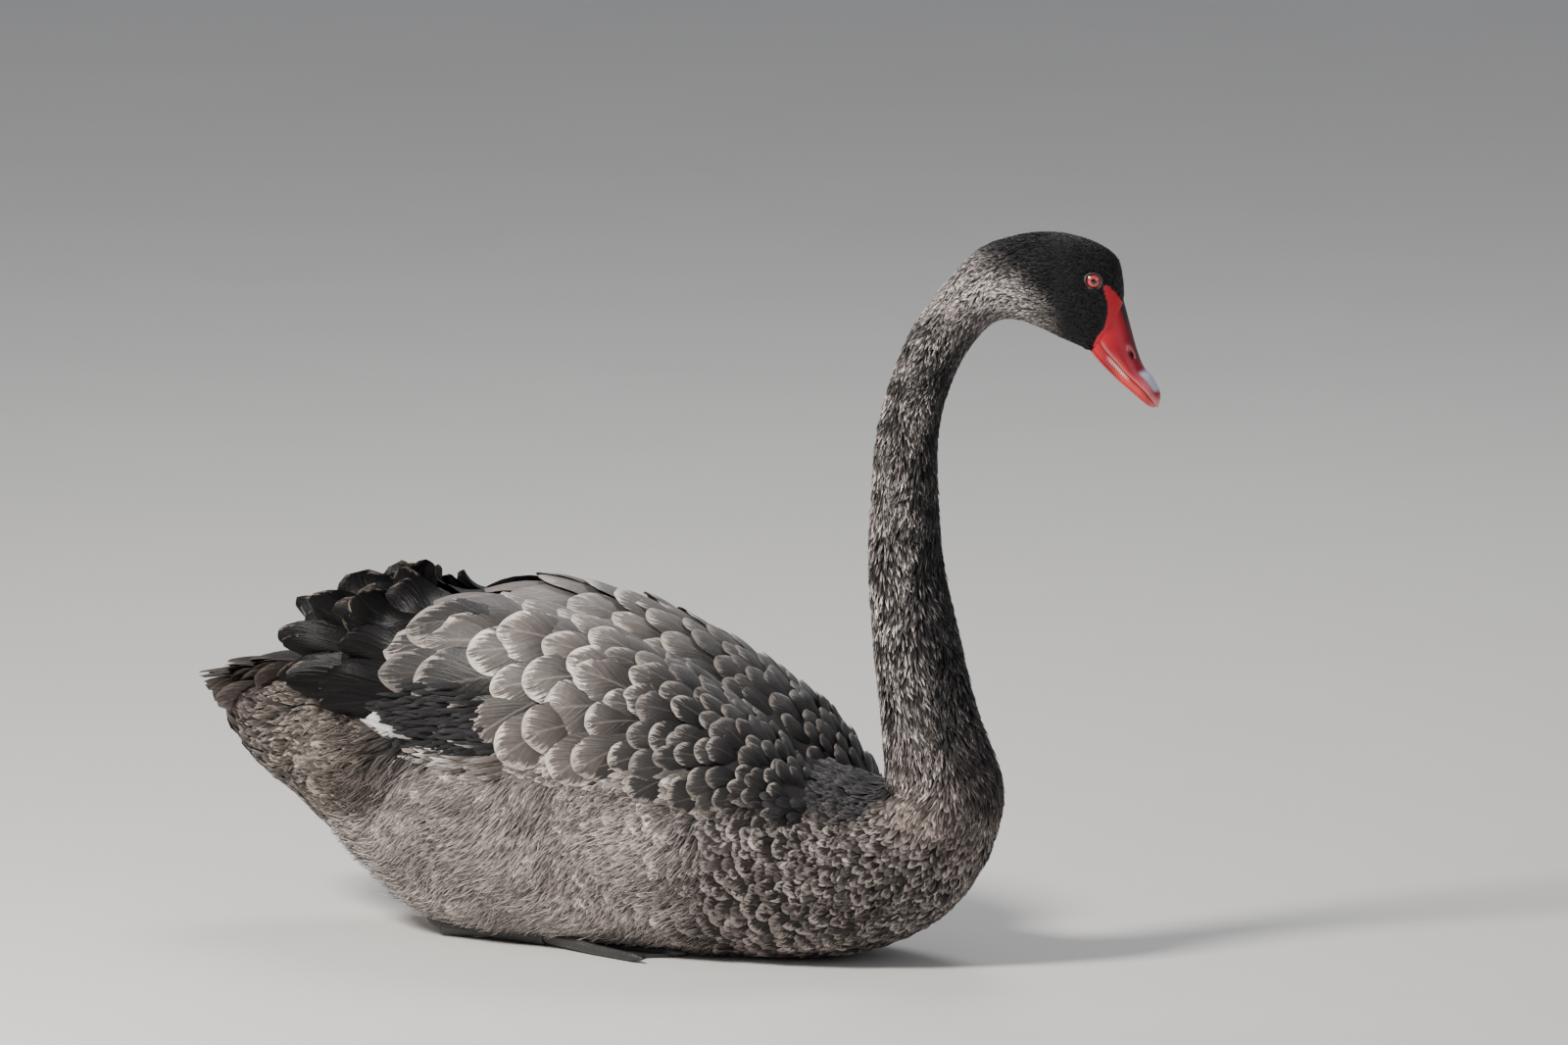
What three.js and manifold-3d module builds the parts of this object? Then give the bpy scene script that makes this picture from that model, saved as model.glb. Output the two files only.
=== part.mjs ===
// A life-size black swan at rest on its belly, its neck upright and its head turned a little to its left.
// Millimetres. +X is the way the body faces, +Y is the bird's left, +Z is up.
// The origin is on the floor, under the middle of the flat of the belly.
import * as THREE from "three";
import { mergeVertices } from "three/addons/utils/BufferGeometryUtils.js";
import Module from "manifold-3d";

const wasm = await Module();
wasm.setup();

// Driving dimensions
const GAP = 0.3; // between neighbouring pieces
const SKIN_SIDES = 24; // facets round the body
const RINGS_PER_STATION = 1.6;
const TAIL_CUT_X = -232; // where the tail is parted from the torso
const NECK_BASE_Z = 126; // where the neck leaves the torso
const NECK_BASE_X = 176;
const NECK_CUTS_Z = [214, 316]; // between the lower, middle and upper neck
const NECK_AXIS_X = 195.5; // upright axis that the head turns about
const HEAD_TURN = THREE.MathUtils.degToRad(27);
const TWIST_FROM_Z = 225;
const TWIST_TO_Z = 345;
const WHOLE_FROM = -330;
const WHOLE_TO = 420;

// The body in the upright plane through its middle, from under the tail to the bill.
// Each station is [upper x, upper z, lower x, lower z, half width, height share of the widest line].
const BODY_STATIONS = [
  [-303, 160, -304, 138, 12, 0.5],
  [-292, 164, -293, 116, 30, 0.55],
  [-268, 168, -271, 94, 45, 0.55],
  [-234, 173, -237, 74, 58, 0.55],
  [-190, 183, -194, 42, 71, 0.53],
  [-145, 188, -150, 11, 84, 0.54],
  [-95, 192, -98, -3, 93, 0.55],
  [-40, 192, -40, -5, 97, 0.56],
  [20, 174, 20, -5, 98, 0.59],
  [75, 149, 80, -4, 94, 0.62],
  [120, 131, 135, -1, 86, 0.61],
  [152, 123, 178, 8, 73, 0.58],
  [171, 119, 217, 28, 60, 0.55],
  [180, 117.5, 245, 58, 51, 0.52],
  [183.5, 118, 260, 92, 43, 0.5],
  [184.6, 122, 263.8, 124, 36, 0.5],
  [180.5, 167, 245.1, 173, 29, 0.5],
  [174.4, 216, 232.7, 220, 26, 0.5],
  [171, 265, 221.5, 267, 23.5, 0.5],
  [173.4, 315, 217.3, 315, 21.5, 0.5],
  [175.6, 348, 217.9, 352.5, 20.5, 0.5],
  [183.2, 381.5, 222.8, 375.6, 19.5, 0.5],
  [194.8, 413.7, 230.6, 396, 19, 0.5],
  [209.8, 438.7, 241, 413.1, 19.3, 0.5],
  [227.3, 460.4, 254, 426.2, 20, 0.5],
  [245.6, 477.6, 268.3, 428.9, 21.5, 0.5],
  [271.6, 486.1, 284.6, 423.6, 23, 0.5],
  [296.2, 487.4, 298.9, 416.4, 23.5, 0.5],
  [318.4, 482.2, 309.2, 411.7, 22, 0.5],
  [334.6, 471.6, 314.4, 409.1, 19.5, 0.5],
  [339.1, 456.5, 316.4, 408.5, 16.5, 0.5],
  [339.8, 441.4, 317.7, 407.8, 14, 0.5],
];
const BELLY_SQUARENESS = 2.5; // superellipse exponent of the underside of the torso
const ROUND = 2;
const LAST_TORSO_STATION = 14;

// The bill: [culmen x, culmen z, mouth line x, mouth line z, chin line x, chin line z, half width]
const BILL_STATIONS = [
  [339.8, 441.4, 323.1, 416, 317.7, 407.8, 14],
  [344.1, 425.2, 328.2, 408.8, 324.7, 399.6, 13],
  [348.6, 408.6, 335.2, 401, 333.6, 390.5, 12],
  [353.1, 397.4, 341.9, 393.6, 339.1, 385.4, 11.8],
  [358.8, 390.9, 347.9, 387.9, 345.6, 379.9, 12.2],
  [363, 382.9, 352.9, 382.9, 350.9, 375.2, 11.8],
  [364, 376.4, 357.6, 376.6, 356.1, 371.3, 8.5],
  [362.4, 370.4, 360.6, 371.2, 359.6, 369.8, 3.2],
];
const BILL_SIDES = 12;
const BILL_RING_COUNT = 13;
const NOSTRIL = { x: 344.6, z: 409, side: 9.5, length: 3.6, height: 1.5, depth: 4 };
const NAIL = { x: 361.2, z: 382.5, length: 9, width: 7.5, depth: 3 };

// The eye, on the head's own side
const EYE = { x: 319.6, z: 457.2, side: 13.2, radius: 7.4 };
const LID = { radius: 5.9, thickness: 1.15, side: 18.9 };

// The folded wing's outer surface: rings across X, each an ellipse.
// Each station is [x, centre y, centre z, half width, half height].
const WING_STATIONS = [
  [158, 40, 96, 14, 6],
  [150, 40, 99, 26, 14],
  [135, 41, 106, 37, 22],
  [118, 42, 113, 45, 33],
  [100, 42, 121, 51, 41],
  [50, 43, 138, 57, 51],
  [0, 44, 147, 60, 62],
  [-50, 44, 154, 59, 67],
  [-100, 41, 160, 54, 64],
  [-150, 36, 163, 46, 48],
  [-190, 31, 167, 36, 34],
  [-220, 28, 170, 29, 27],
  [-260, 26, 172, 23, 20],
];
const WING_SLAB = { endX: -200, taperFromX: -112, endShare: 0.3 }; // the flesh under the feathers
const WING_RINGS = 11;
const WING_SIDES = 18;

// Feather tiers of one wing, from the tail forward. Angles are round the wing's ellipse, 0 at the
// side and 90 on top. A slope is how far the tips point down from straight back.
const WING_TIERS = [
  { x: -62, from: 14, to: 54, count: 3, length: 98, width: 36, slope: [14, 2], lift: 6 },
  { x: -24, from: 12, to: 112, count: 5, length: 84, width: 42, slope: [22, -6], lift: 6 },
  { x: 18, from: 10, to: 116, count: 6, length: 72, width: 38, slope: [28, -6], lift: 5.5 },
  { x: 58, from: 8, to: 118, count: 6, length: 62, width: 31, slope: [28, -5], lift: 5 },
  { x: 92, from: 6, to: 118, count: 5, length: 54, width: 28, slope: [26, -4], lift: 4.5 },
  { x: 122, from: 4, to: 114, count: 4, length: 46, width: 25, slope: [22, 0], lift: 3.5 },
];
// The dark inner feathers whose ends turn up and out. Their bend is the angle the tip turns through.
// The left wing's front tier sits further back than the right wing's.
const CURLED_TIERS = [
  { x: -112, from: 8, to: 48, count: 3, length: 130, width: 33, slope: [2, -10], lift: 5, bend: 28 },
  { x: -110, from: 60, to: 92, count: 2, length: 106, width: 36, slope: [-4, -6], lift: 6, bend: 60 },
  {
    x: -94, leftX: -104, from: 54, to: 96, count: 3,
    length: 84, width: 34, slope: [0, -6], lift: 6, bend: 52,
  },
];
const VANE_ROLL = 0.15; // each vane's one edge lies under its neighbour
const VANE_ROOT_DEPTH = 3.2;
const VANE_THICK = 1.3;
const VANE_TIP_THICK = 0.75;

// Tail feathers
const TAIL_HINGE = { x: -246, z: 158 };
const TAIL = { count: 9, spread: 34, length: 82, sideLength: 60, width: 27, stagger: 1.8, droop: 5 };
const TAIL_COVERTS = { count: 5, spread: 34, length: 46, width: 24, lift: 6 };
const UNDER_COVERTS = { count: 4, spread: 30, x: -262, z: 112, length: 58, width: 25, rise: 26 };

// White flight feathers folded under the wing
const PRIMARIES = { fromX: -104, toX: -180, thickness: 6, height: 25, inset: 1, angles: [-17, -13] };

// Legs, folded flat on the floor under the belly
const HOCK = { x: -124, y: 46, z: 9, radius: 8 };
const ANKLE = { x: -44, y: 52, z: 7 };
const TARSUS_RADIUS = 6;
const FOOT = { toeLength: 96, innerToe: 76, outerToe: 88, spread: 19, toeRadius: 3.8, webThick: 2.2 };

// Small tools

// A repeatable random source.
function seeded(seed) {
  let state = seed;
  return () => {
    state = (state + 0x6d2b79f5) | 0;
    let t = Math.imul(state ^ (state >>> 15), 1 | state);
    t = (t + Math.imul(t ^ (t >>> 7), 61 | t)) ^ t;
    return ((t ^ (t >>> 14)) >>> 0) / 4294967296;
  };
}

// A smooth curve through rows of numbers. t runs from 0 to 1.
function along(rows, t) {
  const place = Math.min(Math.max(t, 0), 1) * (rows.length - 1);
  const i = Math.min(Math.floor(place), rows.length - 2);
  const u = place - i;
  const b = rows[i];
  const c = rows[i + 1];
  const a = i > 0 ? rows[i - 1] : b.map((v, k) => 2 * v - c[k]);
  const d = i + 2 < rows.length ? rows[i + 2] : c.map((v, k) => 2 * v - b[k]);
  return b.map((v, k) => {
    const slopeIn = (c[k] - a[k]) / 2;
    const slopeOut = (d[k] - v) / 2;
    const rise = c[k] - v;
    return v + u * (slopeIn + u * (3 * rise - 2 * slopeIn - slopeOut + u * (slopeIn + slopeOut - 2 * rise)));
  });
}

function smoothstep(from, to, value) {
  const t = Math.min(Math.max((value - from) / (to - from), 0), 1);
  return t * t * (3 - 2 * t);
}

// A closed geometry from rings of points. caps close the first and last ring.
function loft(rings, thin = false) {
  const sides = rings[0].length;
  const points = rings.flat();
  const faces = [];
  for (let i = 0; i + 1 < rings.length; i++) {
    for (let k = 0; k < sides; k++) {
      const a = i * sides + k;
      const b = i * sides + ((k + 1) % sides);
      const c = a + sides;
      const d = b + sides;
      const under = thin && k >= sides / 2;
      if (under) faces.push(a, b, c, b, d, c);
      else faces.push(a, b, d, a, d, c);
    }
  }
  const close = (start, flip) => {
    if (thin) {
      for (let k = 0; k + 1 < sides / 2; k++) {
        const [a, b, c, d] = [k, k + 1, sides - 2 - k, sides - 1 - k].map((j) => start + j);
        if (flip) faces.push(a, b, c, a, c, d);
        else faces.push(a, c, b, a, d, c);
      }
      return;
    }
    const centre = new THREE.Vector3();
    for (let k = 0; k < sides; k++) centre.add(points[start + k]);
    const middle = points.push(centre.divideScalar(sides)) - 1;
    for (let k = 0; k < sides; k++) {
      const next = start + ((k + 1) % sides);
      if (flip) faces.push(middle, start + k, next);
      else faces.push(middle, next, start + k);
    }
  };
  close(0, false);
  close((rings.length - 1) * sides, true);
  return new THREE.BufferGeometry().setFromPoints(points).setIndex(faces);
}

// A closed geometry as a solid that can be joined and cut.
function solid(geometry) {
  const plain = new THREE.BufferGeometry();
  plain.setAttribute("position", geometry.getAttribute("position"));
  plain.setIndex(geometry.getIndex());
  const merged = mergeVertices(plain, 1e-4);
  const triVerts = new Uint32Array(merged.index.array);
  const make = () =>
    new wasm.Manifold(
      new wasm.Mesh({ numProp: 3, vertProperties: merged.attributes.position.array, triVerts }),
    );
  let made = make();
  if (made.volume() < 0) {
    for (let i = 0; i < triVerts.length; i += 3) {
      [triVerts[i + 1], triVerts[i + 2]] = [triVerts[i + 2], triVerts[i + 1]];
    }
    made = make();
  }
  return made;
}

// The largest closed body of a solid.
function largest(made) {
  return made.decompose().reduce((best, next) => (next.volume() > best.volume() ? next : best));
}

function join(solids) {
  return solids.reduce((all, next) => all.add(next));
}

// The side of a solid that lies along a direction past a point.
function side(made, normal, point) {
  const n = normal.clone().normalize();
  return made.trimByPlane([n.x, n.y, n.z], n.dot(point));
}

function placed(geometry, x, y, z, rotation = new THREE.Euler()) {
  const matrix = new THREE.Matrix4().makeRotationFromEuler(rotation);
  return geometry.applyMatrix4(matrix.setPosition(x, y, z));
}

// The head's turn about the upright axis of the neck, for a point of the neck or head.
function turned(point) {
  const angle = HEAD_TURN * smoothstep(TWIST_FROM_Z, TWIST_TO_Z, point.z);
  const dx = point.x - NECK_AXIS_X;
  return point.set(
    NECK_AXIS_X + dx * Math.cos(angle) - point.y * Math.sin(angle),
    dx * Math.sin(angle) + point.y * Math.cos(angle),
    point.z,
  );
}

function turnedGeometry(geometry) {
  const position = geometry.getAttribute("position");
  const point = new THREE.Vector3();
  for (let i = 0; i < position.count; i++) {
    turned(point.fromBufferAttribute(position, i));
    position.setXYZ(i, point.x, point.y, point.z);
  }
  return geometry;
}

// The body

// One ring of the body, grown outwards by a margin.
function bodyRing(t, grow, sides) {
  const [ux, uz, lx, lz, half, share] = along(BODY_STATIONS, t);
  const upper = new THREE.Vector2(ux, uz);
  const lower = new THREE.Vector2(lx, lz);
  const middle = lower.clone().lerp(upper, share);
  const up = upper.clone().sub(middle);
  const down = lower.clone().sub(middle);
  up.setLength(up.length() + grow);
  down.setLength(down.length() + grow);
  const station = t * (BODY_STATIONS.length - 1);
  const belly = 1 - smoothstep(LAST_TORSO_STATION - 4, LAST_TORSO_STATION, station);
  const squareness = ROUND + (BELLY_SQUARENESS - ROUND) * belly * smoothstep(1, 5, station);
  const isNeck = station > LAST_TORSO_STATION + 1;
  const ring = [];
  for (let k = 0; k < sides; k++) {
    const angle = (2 * Math.PI * k) / sides;
    const c = Math.cos(angle);
    const s = Math.sin(angle);
    const power = 2 / (c < 0 ? squareness : ROUND);
    const reach = Math.abs(c) ** power;
    const across = Math.sign(s) * Math.abs(s) ** power * (half + grow);
    const arm = c < 0 ? down : up;
    const point = new THREE.Vector3(middle.x + arm.x * reach, across, middle.y + arm.y * reach);
    point.z = Math.max(point.z, -grow);
    ring.push(isNeck ? turned(point) : point);
  }
  return ring;
}

function bodySolid(grow) {
  const count = Math.round(BODY_STATIONS.length * RINGS_PER_STATION);
  const rings = [];
  for (let i = 0; i <= count; i++) rings.push(bodyRing(i / count, grow, SKIN_SIDES));
  return solid(loft(rings));
}

// A wedge that holds the neck and head and nothing of the back, for parting them.
function neckWedge(shift) {
  const outline = new THREE.Shape([
    new THREE.Vector2(NECK_BASE_X - shift, NECK_BASE_Z + shift),
    new THREE.Vector2(WHOLE_TO, NECK_BASE_Z + shift),
    new THREE.Vector2(WHOLE_TO, 600),
    new THREE.Vector2(NECK_BASE_X - shift - (600 - NECK_BASE_Z - shift), 600),
  ]);
  const depth = 2 * WHOLE_TO;
  const wedge = new THREE.ExtrudeGeometry(outline, { depth, bevelEnabled: false });
  wedge.rotateX(Math.PI / 2).translate(0, depth / 2, 0);
  return solid(wedge);
}

const UP = new THREE.Vector3(0, 0, 1);
const DOWN = new THREE.Vector3(0, 0, -1);
const whole = bodySolid(0);
const wholeGrown = bodySolid(GAP + 0.1);
const neckAndHead = whole.intersect(neckWedge(GAP / 2));
const trunk = largest(whole.subtract(neckWedge(-GAP / 2)));
const tailStub = side(trunk, new THREE.Vector3(-1, 0, 0), new THREE.Vector3(TAIL_CUT_X - GAP / 2, 0, 0));
const torsoWhole = side(trunk, new THREE.Vector3(1, 0, 0), new THREE.Vector3(TAIL_CUT_X + GAP / 2, 0, 0));

// The plane between the neck and the head
const JAW_STATION = 25;
const nape = BODY_STATIONS[JAW_STATION];
const napeUp = new THREE.Vector3(nape[0] - nape[2], 0, nape[1] - nape[3]).normalize();
const napeForward = new THREE.Vector3(napeUp.z, 0, -napeUp.x).applyAxisAngle(UP, HEAD_TURN);
const napePoint = turned(new THREE.Vector3((nape[0] + nape[2]) / 2, 0, (nape[1] + nape[3]) / 2));

function neckLength(from, to) {
  let piece = neckAndHead;
  if (from !== null) piece = side(piece, UP, new THREE.Vector3(0, 0, from + GAP / 2));
  if (to !== null) piece = side(piece, DOWN, new THREE.Vector3(0, 0, to - GAP / 2));
  return piece;
}

function beside(piece, direction) {
  const away = napeForward.clone().multiplyScalar(direction);
  return side(piece, away, napePoint.clone().addScaledVector(away, GAP / 2));
}

// The head, with its lids and the sockets of the eyes

function eyePlace(hand, across) {
  return turned(new THREE.Vector3(EYE.x, hand * across, EYE.z));
}

function eyeball(hand, grow) {
  const centre = eyePlace(hand, EYE.side);
  const ball = new THREE.SphereGeometry(EYE.radius + grow, 14, 10);
  return solid(ball.translate(centre.x, centre.y, centre.z));
}

function lid(hand) {
  const ring = new THREE.TorusGeometry(LID.radius, LID.thickness, 6, 14);
  ring.rotateX(Math.PI / 2).translate(EYE.x, hand * LID.side, EYE.z);
  return solid(turnedGeometry(ring));
}

function headSolid() {
  const blank = beside(neckLength(NECK_CUTS_Z[1], null), 1);
  const withLids = join([blank, lid(1), lid(-1)]);
  return largest(withLids.subtract(eyeball(1, GAP)).subtract(eyeball(-1, GAP)));
}

// The bill

function billRings(isUpper) {
  const rings = [];
  for (let i = 0; i < BILL_RING_COUNT; i++) {
    const t = i / (BILL_RING_COUNT - 1);
    const [cx, cz, mx, mz, hx, hz, half] = along(BILL_STATIONS, t);
    const arm = isUpper ? new THREE.Vector2(cx - mx, cz - mz) : new THREE.Vector2(hx - mx, hz - mz);
    const gap = Math.min(GAP / 2 / arm.length(), 0.4);
    const width = isUpper ? half : half * 0.9;
    const squareness = isUpper ? 2.2 : 2.8;
    const ring = [];
    for (let k = 0; k <= BILL_SIDES; k++) {
      const angle = (Math.PI * k) / BILL_SIDES;
      const reach = gap + (1 - gap) * Math.sin(angle) ** (2 / squareness);
      const c = Math.cos(angle);
      const across = Math.sign(c) * Math.abs(c) ** (2 / squareness) * width;
      ring.push(turned(new THREE.Vector3(mx + arm.x * reach, across, mz + arm.y * reach)));
    }
    rings.push(ring);
  }
  return rings;
}

function billSolid(isUpper) {
  const ahead = new THREE.Vector3(0, 0, 0);
  const base = BILL_STATIONS[0];
  const rise = new THREE.Vector3(base[0] - base[4], 0, base[1] - base[5]).normalize();
  ahead.set(rise.z, 0, -rise.x).applyAxisAngle(UP, HEAD_TURN);
  const point = turned(new THREE.Vector3(base[0], 0, base[1])).addScaledVector(ahead, GAP);
  return side(solid(loft(billRings(isUpper))), ahead, point);
}

function nostril(hand) {
  const pit = new THREE.SphereGeometry(1, 8, 6).scale(NOSTRIL.length, NOSTRIL.depth, NOSTRIL.height);
  placed(pit, NOSTRIL.x, hand * NOSTRIL.side, NOSTRIL.z, new THREE.Euler(0, 1.15, 0));
  return solid(turnedGeometry(pit));
}

function nail() {
  const plate = new THREE.SphereGeometry(1, 10, 6).scale(NAIL.length, NAIL.width, NAIL.depth);
  placed(plate, NAIL.x, 0, NAIL.z, new THREE.Euler(0, 1.25, 0));
  return solid(turnedGeometry(plate));
}

// Feathers

// A vane along a line of points: flat or cambered, as thick as a real one, and closed.
function vane(line, normals, widths, camber) {
  const rings = line.map((point, i) => {
    const before = line[Math.max(i - 1, 0)];
    const after = line[Math.min(i + 1, line.length - 1)];
    const forward = after.clone().sub(before).normalize();
    const across = normals[i].clone().cross(forward).normalize();
    const up = forward.clone().cross(across);
    const half = widths[i] / 2;
    const thick = THREE.MathUtils.lerp(VANE_THICK, VANE_TIP_THICK, i / (line.length - 1)) / 2;
    const spots = camber ? [-1, 0, 1] : [-1, 1];
    const top = spots.map((s) =>
      point
        .clone()
        .addScaledVector(across, s * half)
        .addScaledVector(up, thick - camber * s * s * half),
    );
    const bottom = top.map((p) => p.clone().addScaledVector(up, -2 * thick)).reverse();
    return [...top, ...bottom];
  });
  return solid(loft(rings, true));
}

const VANE_STEPS = [0, 0.3, 0.62, 0.88, 1];
const CURLED_STEPS = [0, 0.32, 0.58, 0.75, 0.89, 1];
const BEND_FROM = 0.5;

function vaneWidth(t) {
  return t < 0.6 ? 0.5 + 0.5 * Math.sin((t / 0.6) * (Math.PI / 2)) : Math.sqrt(1 - ((t - 0.6) / 0.43) ** 2);
}

// The wing's outer surface, x along the body and angle round it, and its outward direction.
function wingPoint(x, angle, hand) {
  const first = WING_STATIONS.findIndex((row) => row[0] <= x);
  const i = Math.min(Math.max(first, 1), WING_STATIONS.length - 1);
  const [a, b] = [WING_STATIONS[i - 1], WING_STATIONS[i]];
  const t = (i - 1 + (x - a[0]) / (b[0] - a[0])) / (WING_STATIONS.length - 1);
  const [, cy, cz, half, rise] = along(WING_STATIONS, t);
  return new THREE.Vector3(x, hand * (cy + half * Math.cos(angle)), cz + rise * Math.sin(angle));
}

function wingNormal(x, angle, hand) {
  const small = 0.02;
  const ahead = wingPoint(x + 1, angle, hand).sub(wingPoint(x - 1, angle, hand));
  const round = wingPoint(x, angle + small, hand).sub(wingPoint(x, angle - small, hand));
  return ahead.cross(round).multiplyScalar(-hand).normalize();
}

// A feather that lies back over the wing from a root at (x, angle).
function wingFeather(tier, share, hand, random) {
  const steps = tier.bend ? CURLED_STEPS : VANE_STEPS;
  const jitter = (size) => (random() - 0.5) * 2 * size;
  const rootAngle = THREE.MathUtils.degToRad(THREE.MathUtils.lerp(tier.from, tier.to, share) + jitter(1.2));
  const slope = THREE.MathUtils.degToRad(THREE.MathUtils.lerp(...tier.slope, share) + jitter(3));
  const bend = THREE.MathUtils.degToRad(tier.bend ? tier.bend + jitter(14) : 0);
  const length = tier.length * (1 + jitter(0.06));
  const line = [];
  const normals = [];
  const rootX = hand > 0 ? (tier.leftX ?? tier.x) : tier.x;
  let x = rootX + jitter(3) - 6 * Math.sin(Math.PI * share);
  let angle = rootAngle;
  let last = 0;
  for (const t of steps) {
    const step = (t - last) * length;
    last = t;
    if (tier.bend && t > BEND_FROM) {
      const out = normals.at(-1);
      const back = line.at(-1).clone().sub(line.at(-2)).normalize();
      const swing = bend * (smoothstep(BEND_FROM, 1.1, t) - smoothstep(BEND_FROM, 1.1, t - step / length));
      const ahead = back.multiplyScalar(Math.cos(swing)).addScaledVector(out, Math.sin(swing)).normalize();
      line.push(line.at(-1).clone().addScaledVector(ahead, step));
      normals.push(out.clone().addScaledVector(ahead, -out.dot(ahead)).normalize());
      continue;
    }
    const radius = wingPoint(x, angle + 0.05, hand).distanceTo(wingPoint(x, angle - 0.05, hand)) / 0.1;
    x -= step * Math.cos(slope);
    angle -= (step * Math.sin(slope)) / Math.max(radius, 12);
    const out = wingNormal(x, angle, hand);
    const height = THREE.MathUtils.lerp(-VANE_ROOT_DEPTH, tier.lift, Math.sin((t * Math.PI) / 2));
    line.push(wingPoint(x, angle, hand).addScaledVector(out, height));
    normals.push(out.applyAxisAngle(new THREE.Vector3(-1, 0, 0), hand * VANE_ROLL));
  }
  const widths = steps.map((t) => Math.max(tier.width * vaneWidth(t) * (1 + jitter(0.04)), 4));
  return vane(line, normals, widths, tier.bend ? 0.16 : 0);
}

function wingSlab(hand) {
  const rings = [];
  for (let i = 0; i <= WING_RINGS; i++) {
    const x = THREE.MathUtils.lerp(WING_STATIONS[0][0], WING_SLAB.endX, i / WING_RINGS);
    const share = 1 - (1 - WING_SLAB.endShare) * smoothstep(WING_SLAB.taperFromX, WING_SLAB.endX, x);
    const core = wingPoint(x, 0, hand).lerp(wingPoint(x, Math.PI, hand), 0.5);
    const ring = [];
    for (let k = 0; k < WING_SIDES; k++) {
      ring.push(wingPoint(x, (2 * Math.PI * k) / WING_SIDES, hand).lerp(core, 1 - share));
    }
    rings.push(ring);
  }
  return solid(loft(rings));
}

// The white flight feathers: a thin pack that lies under the wing's lower edge.
function primaries(hand, grow) {
  const rings = [];
  const steps = 9;
  for (let i = 0; i <= steps; i++) {
    const t = i / steps;
    const x = THREE.MathUtils.lerp(PRIMARIES.fromX + grow, PRIMARIES.toX - grow, t);
    const angle = THREE.MathUtils.degToRad(THREE.MathUtils.lerp(...PRIMARIES.angles, t));
    const out = wingNormal(x, angle, hand);
    const middle = wingPoint(x, angle, hand).addScaledVector(out, -PRIMARIES.inset);
    const taper = 1 - 0.72 * t ** 2.2;
    const half = (PRIMARIES.height / 2) * taper + grow;
    const thick = (PRIMARIES.thickness / 2) * (1 - 0.7 * t) + grow;
    const down = new THREE.Vector3(1, 0, 0).cross(out).multiplyScalar(hand).normalize();
    const ring = [];
    const notch = grow ? 0 : 1.5 * (i % 2);
    for (const [a, b] of [[-1, 0.25], [0, 1], [1, 0.25], [1, -0.25], [0, -1], [-1, -0.25]]) {
      ring.push(middle.clone().addScaledVector(down, a * (half - notch)).addScaledVector(out, b * thick));
    }
    rings.push(ring);
  }
  return solid(loft(rings, true));
}

function wingSolid(hand) {
  const random = seeded(hand > 0 ? 12 : 25);
  const feathers = [];
  const tiers = [...WING_TIERS, ...CURLED_TIERS];
  for (const tier of tiers) {
    for (let i = 0; i < tier.count; i++) {
      feathers.push(wingFeather(tier, tier.count > 1 ? i / (tier.count - 1) : 0.5, hand, random));
    }
  }
  const joined = join([wingSlab(hand), ...feathers]);
  const clear = joined.subtract(wholeGrown).subtract(primaries(hand, GAP));
  return largest(side(clear, new THREE.Vector3(0, hand, 0), new THREE.Vector3(0, hand * GAP, 0)));
}

// A flat feather of the tail, fanned about the hinge.
function tailFeather(fan, length, width, height, drop) {
  const turn = THREE.MathUtils.degToRad(fan);
  const line = VANE_STEPS.map((t) => {
    const reach = length * t;
    const back = TAIL_HINGE.x - Math.cos(turn) * reach;
    const rise = 6 * Math.sin(t * 2.4) - drop * t * t;
    return new THREE.Vector3(back, Math.sin(turn) * reach + turn * 12, TAIL_HINGE.z + height + rise);
  });
  const normals = line.map(() => new THREE.Vector3(0, Math.sin(turn) * 0.12, 1).normalize());
  return vane(line, normals, VANE_STEPS.map((t) => Math.max(width * vaneWidth(t), 4)), 0);
}

// A feather under the tail, which rises along the slope of the rump to the tail's root.
function underCovert(fan) {
  const turn = THREE.MathUtils.degToRad(fan);
  const line = VANE_STEPS.map((t) => {
    const reach = UNDER_COVERTS.length * t;
    const back = UNDER_COVERTS.x - Math.cos(turn) * reach;
    const side = Math.sin(turn) * (22 + reach * 0.5);
    const edge = 14 * (fan / UNDER_COVERTS.spread) ** 2;
    return new THREE.Vector3(back, side, UNDER_COVERTS.z + edge + UNDER_COVERTS.rise * t);
  });
  const normals = line.map(() => new THREE.Vector3(-0.4, Math.sin(turn) * 1.1, -1).normalize());
  return vane(line, normals, VANE_STEPS.map((t) => Math.max(UNDER_COVERTS.width * vaneWidth(t), 4)), 0.1);
}

function tailSolid() {
  const feathers = [];
  for (let i = 0; i < TAIL.count; i++) {
    const place = i - (TAIL.count - 1) / 2;
    const share = place / ((TAIL.count - 1) / 2);
    const length = THREE.MathUtils.lerp(TAIL.length, TAIL.sideLength, Math.abs(share));
    const height = -TAIL.stagger * Math.abs(place);
    feathers.push(tailFeather(TAIL.spread * share, length, TAIL.width, height, TAIL.droop));
  }
  for (let i = 0; i < TAIL_COVERTS.count; i++) {
    const { spread, count, length, width, lift } = TAIL_COVERTS;
    const place = i - (count - 1) / 2;
    const fan = (spread * place) / ((count - 1) / 2);
    feathers.push(tailFeather(fan, length, width, lift - TAIL.stagger * Math.abs(place), 0));
  }
  for (let i = 0; i < UNDER_COVERTS.count; i++) {
    const { spread, count } = UNDER_COVERTS;
    feathers.push(underCovert(THREE.MathUtils.lerp(-spread, spread, i / (count - 1))));
  }
  return largest(join([tailStub, ...feathers]));
}

// Legs

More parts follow.
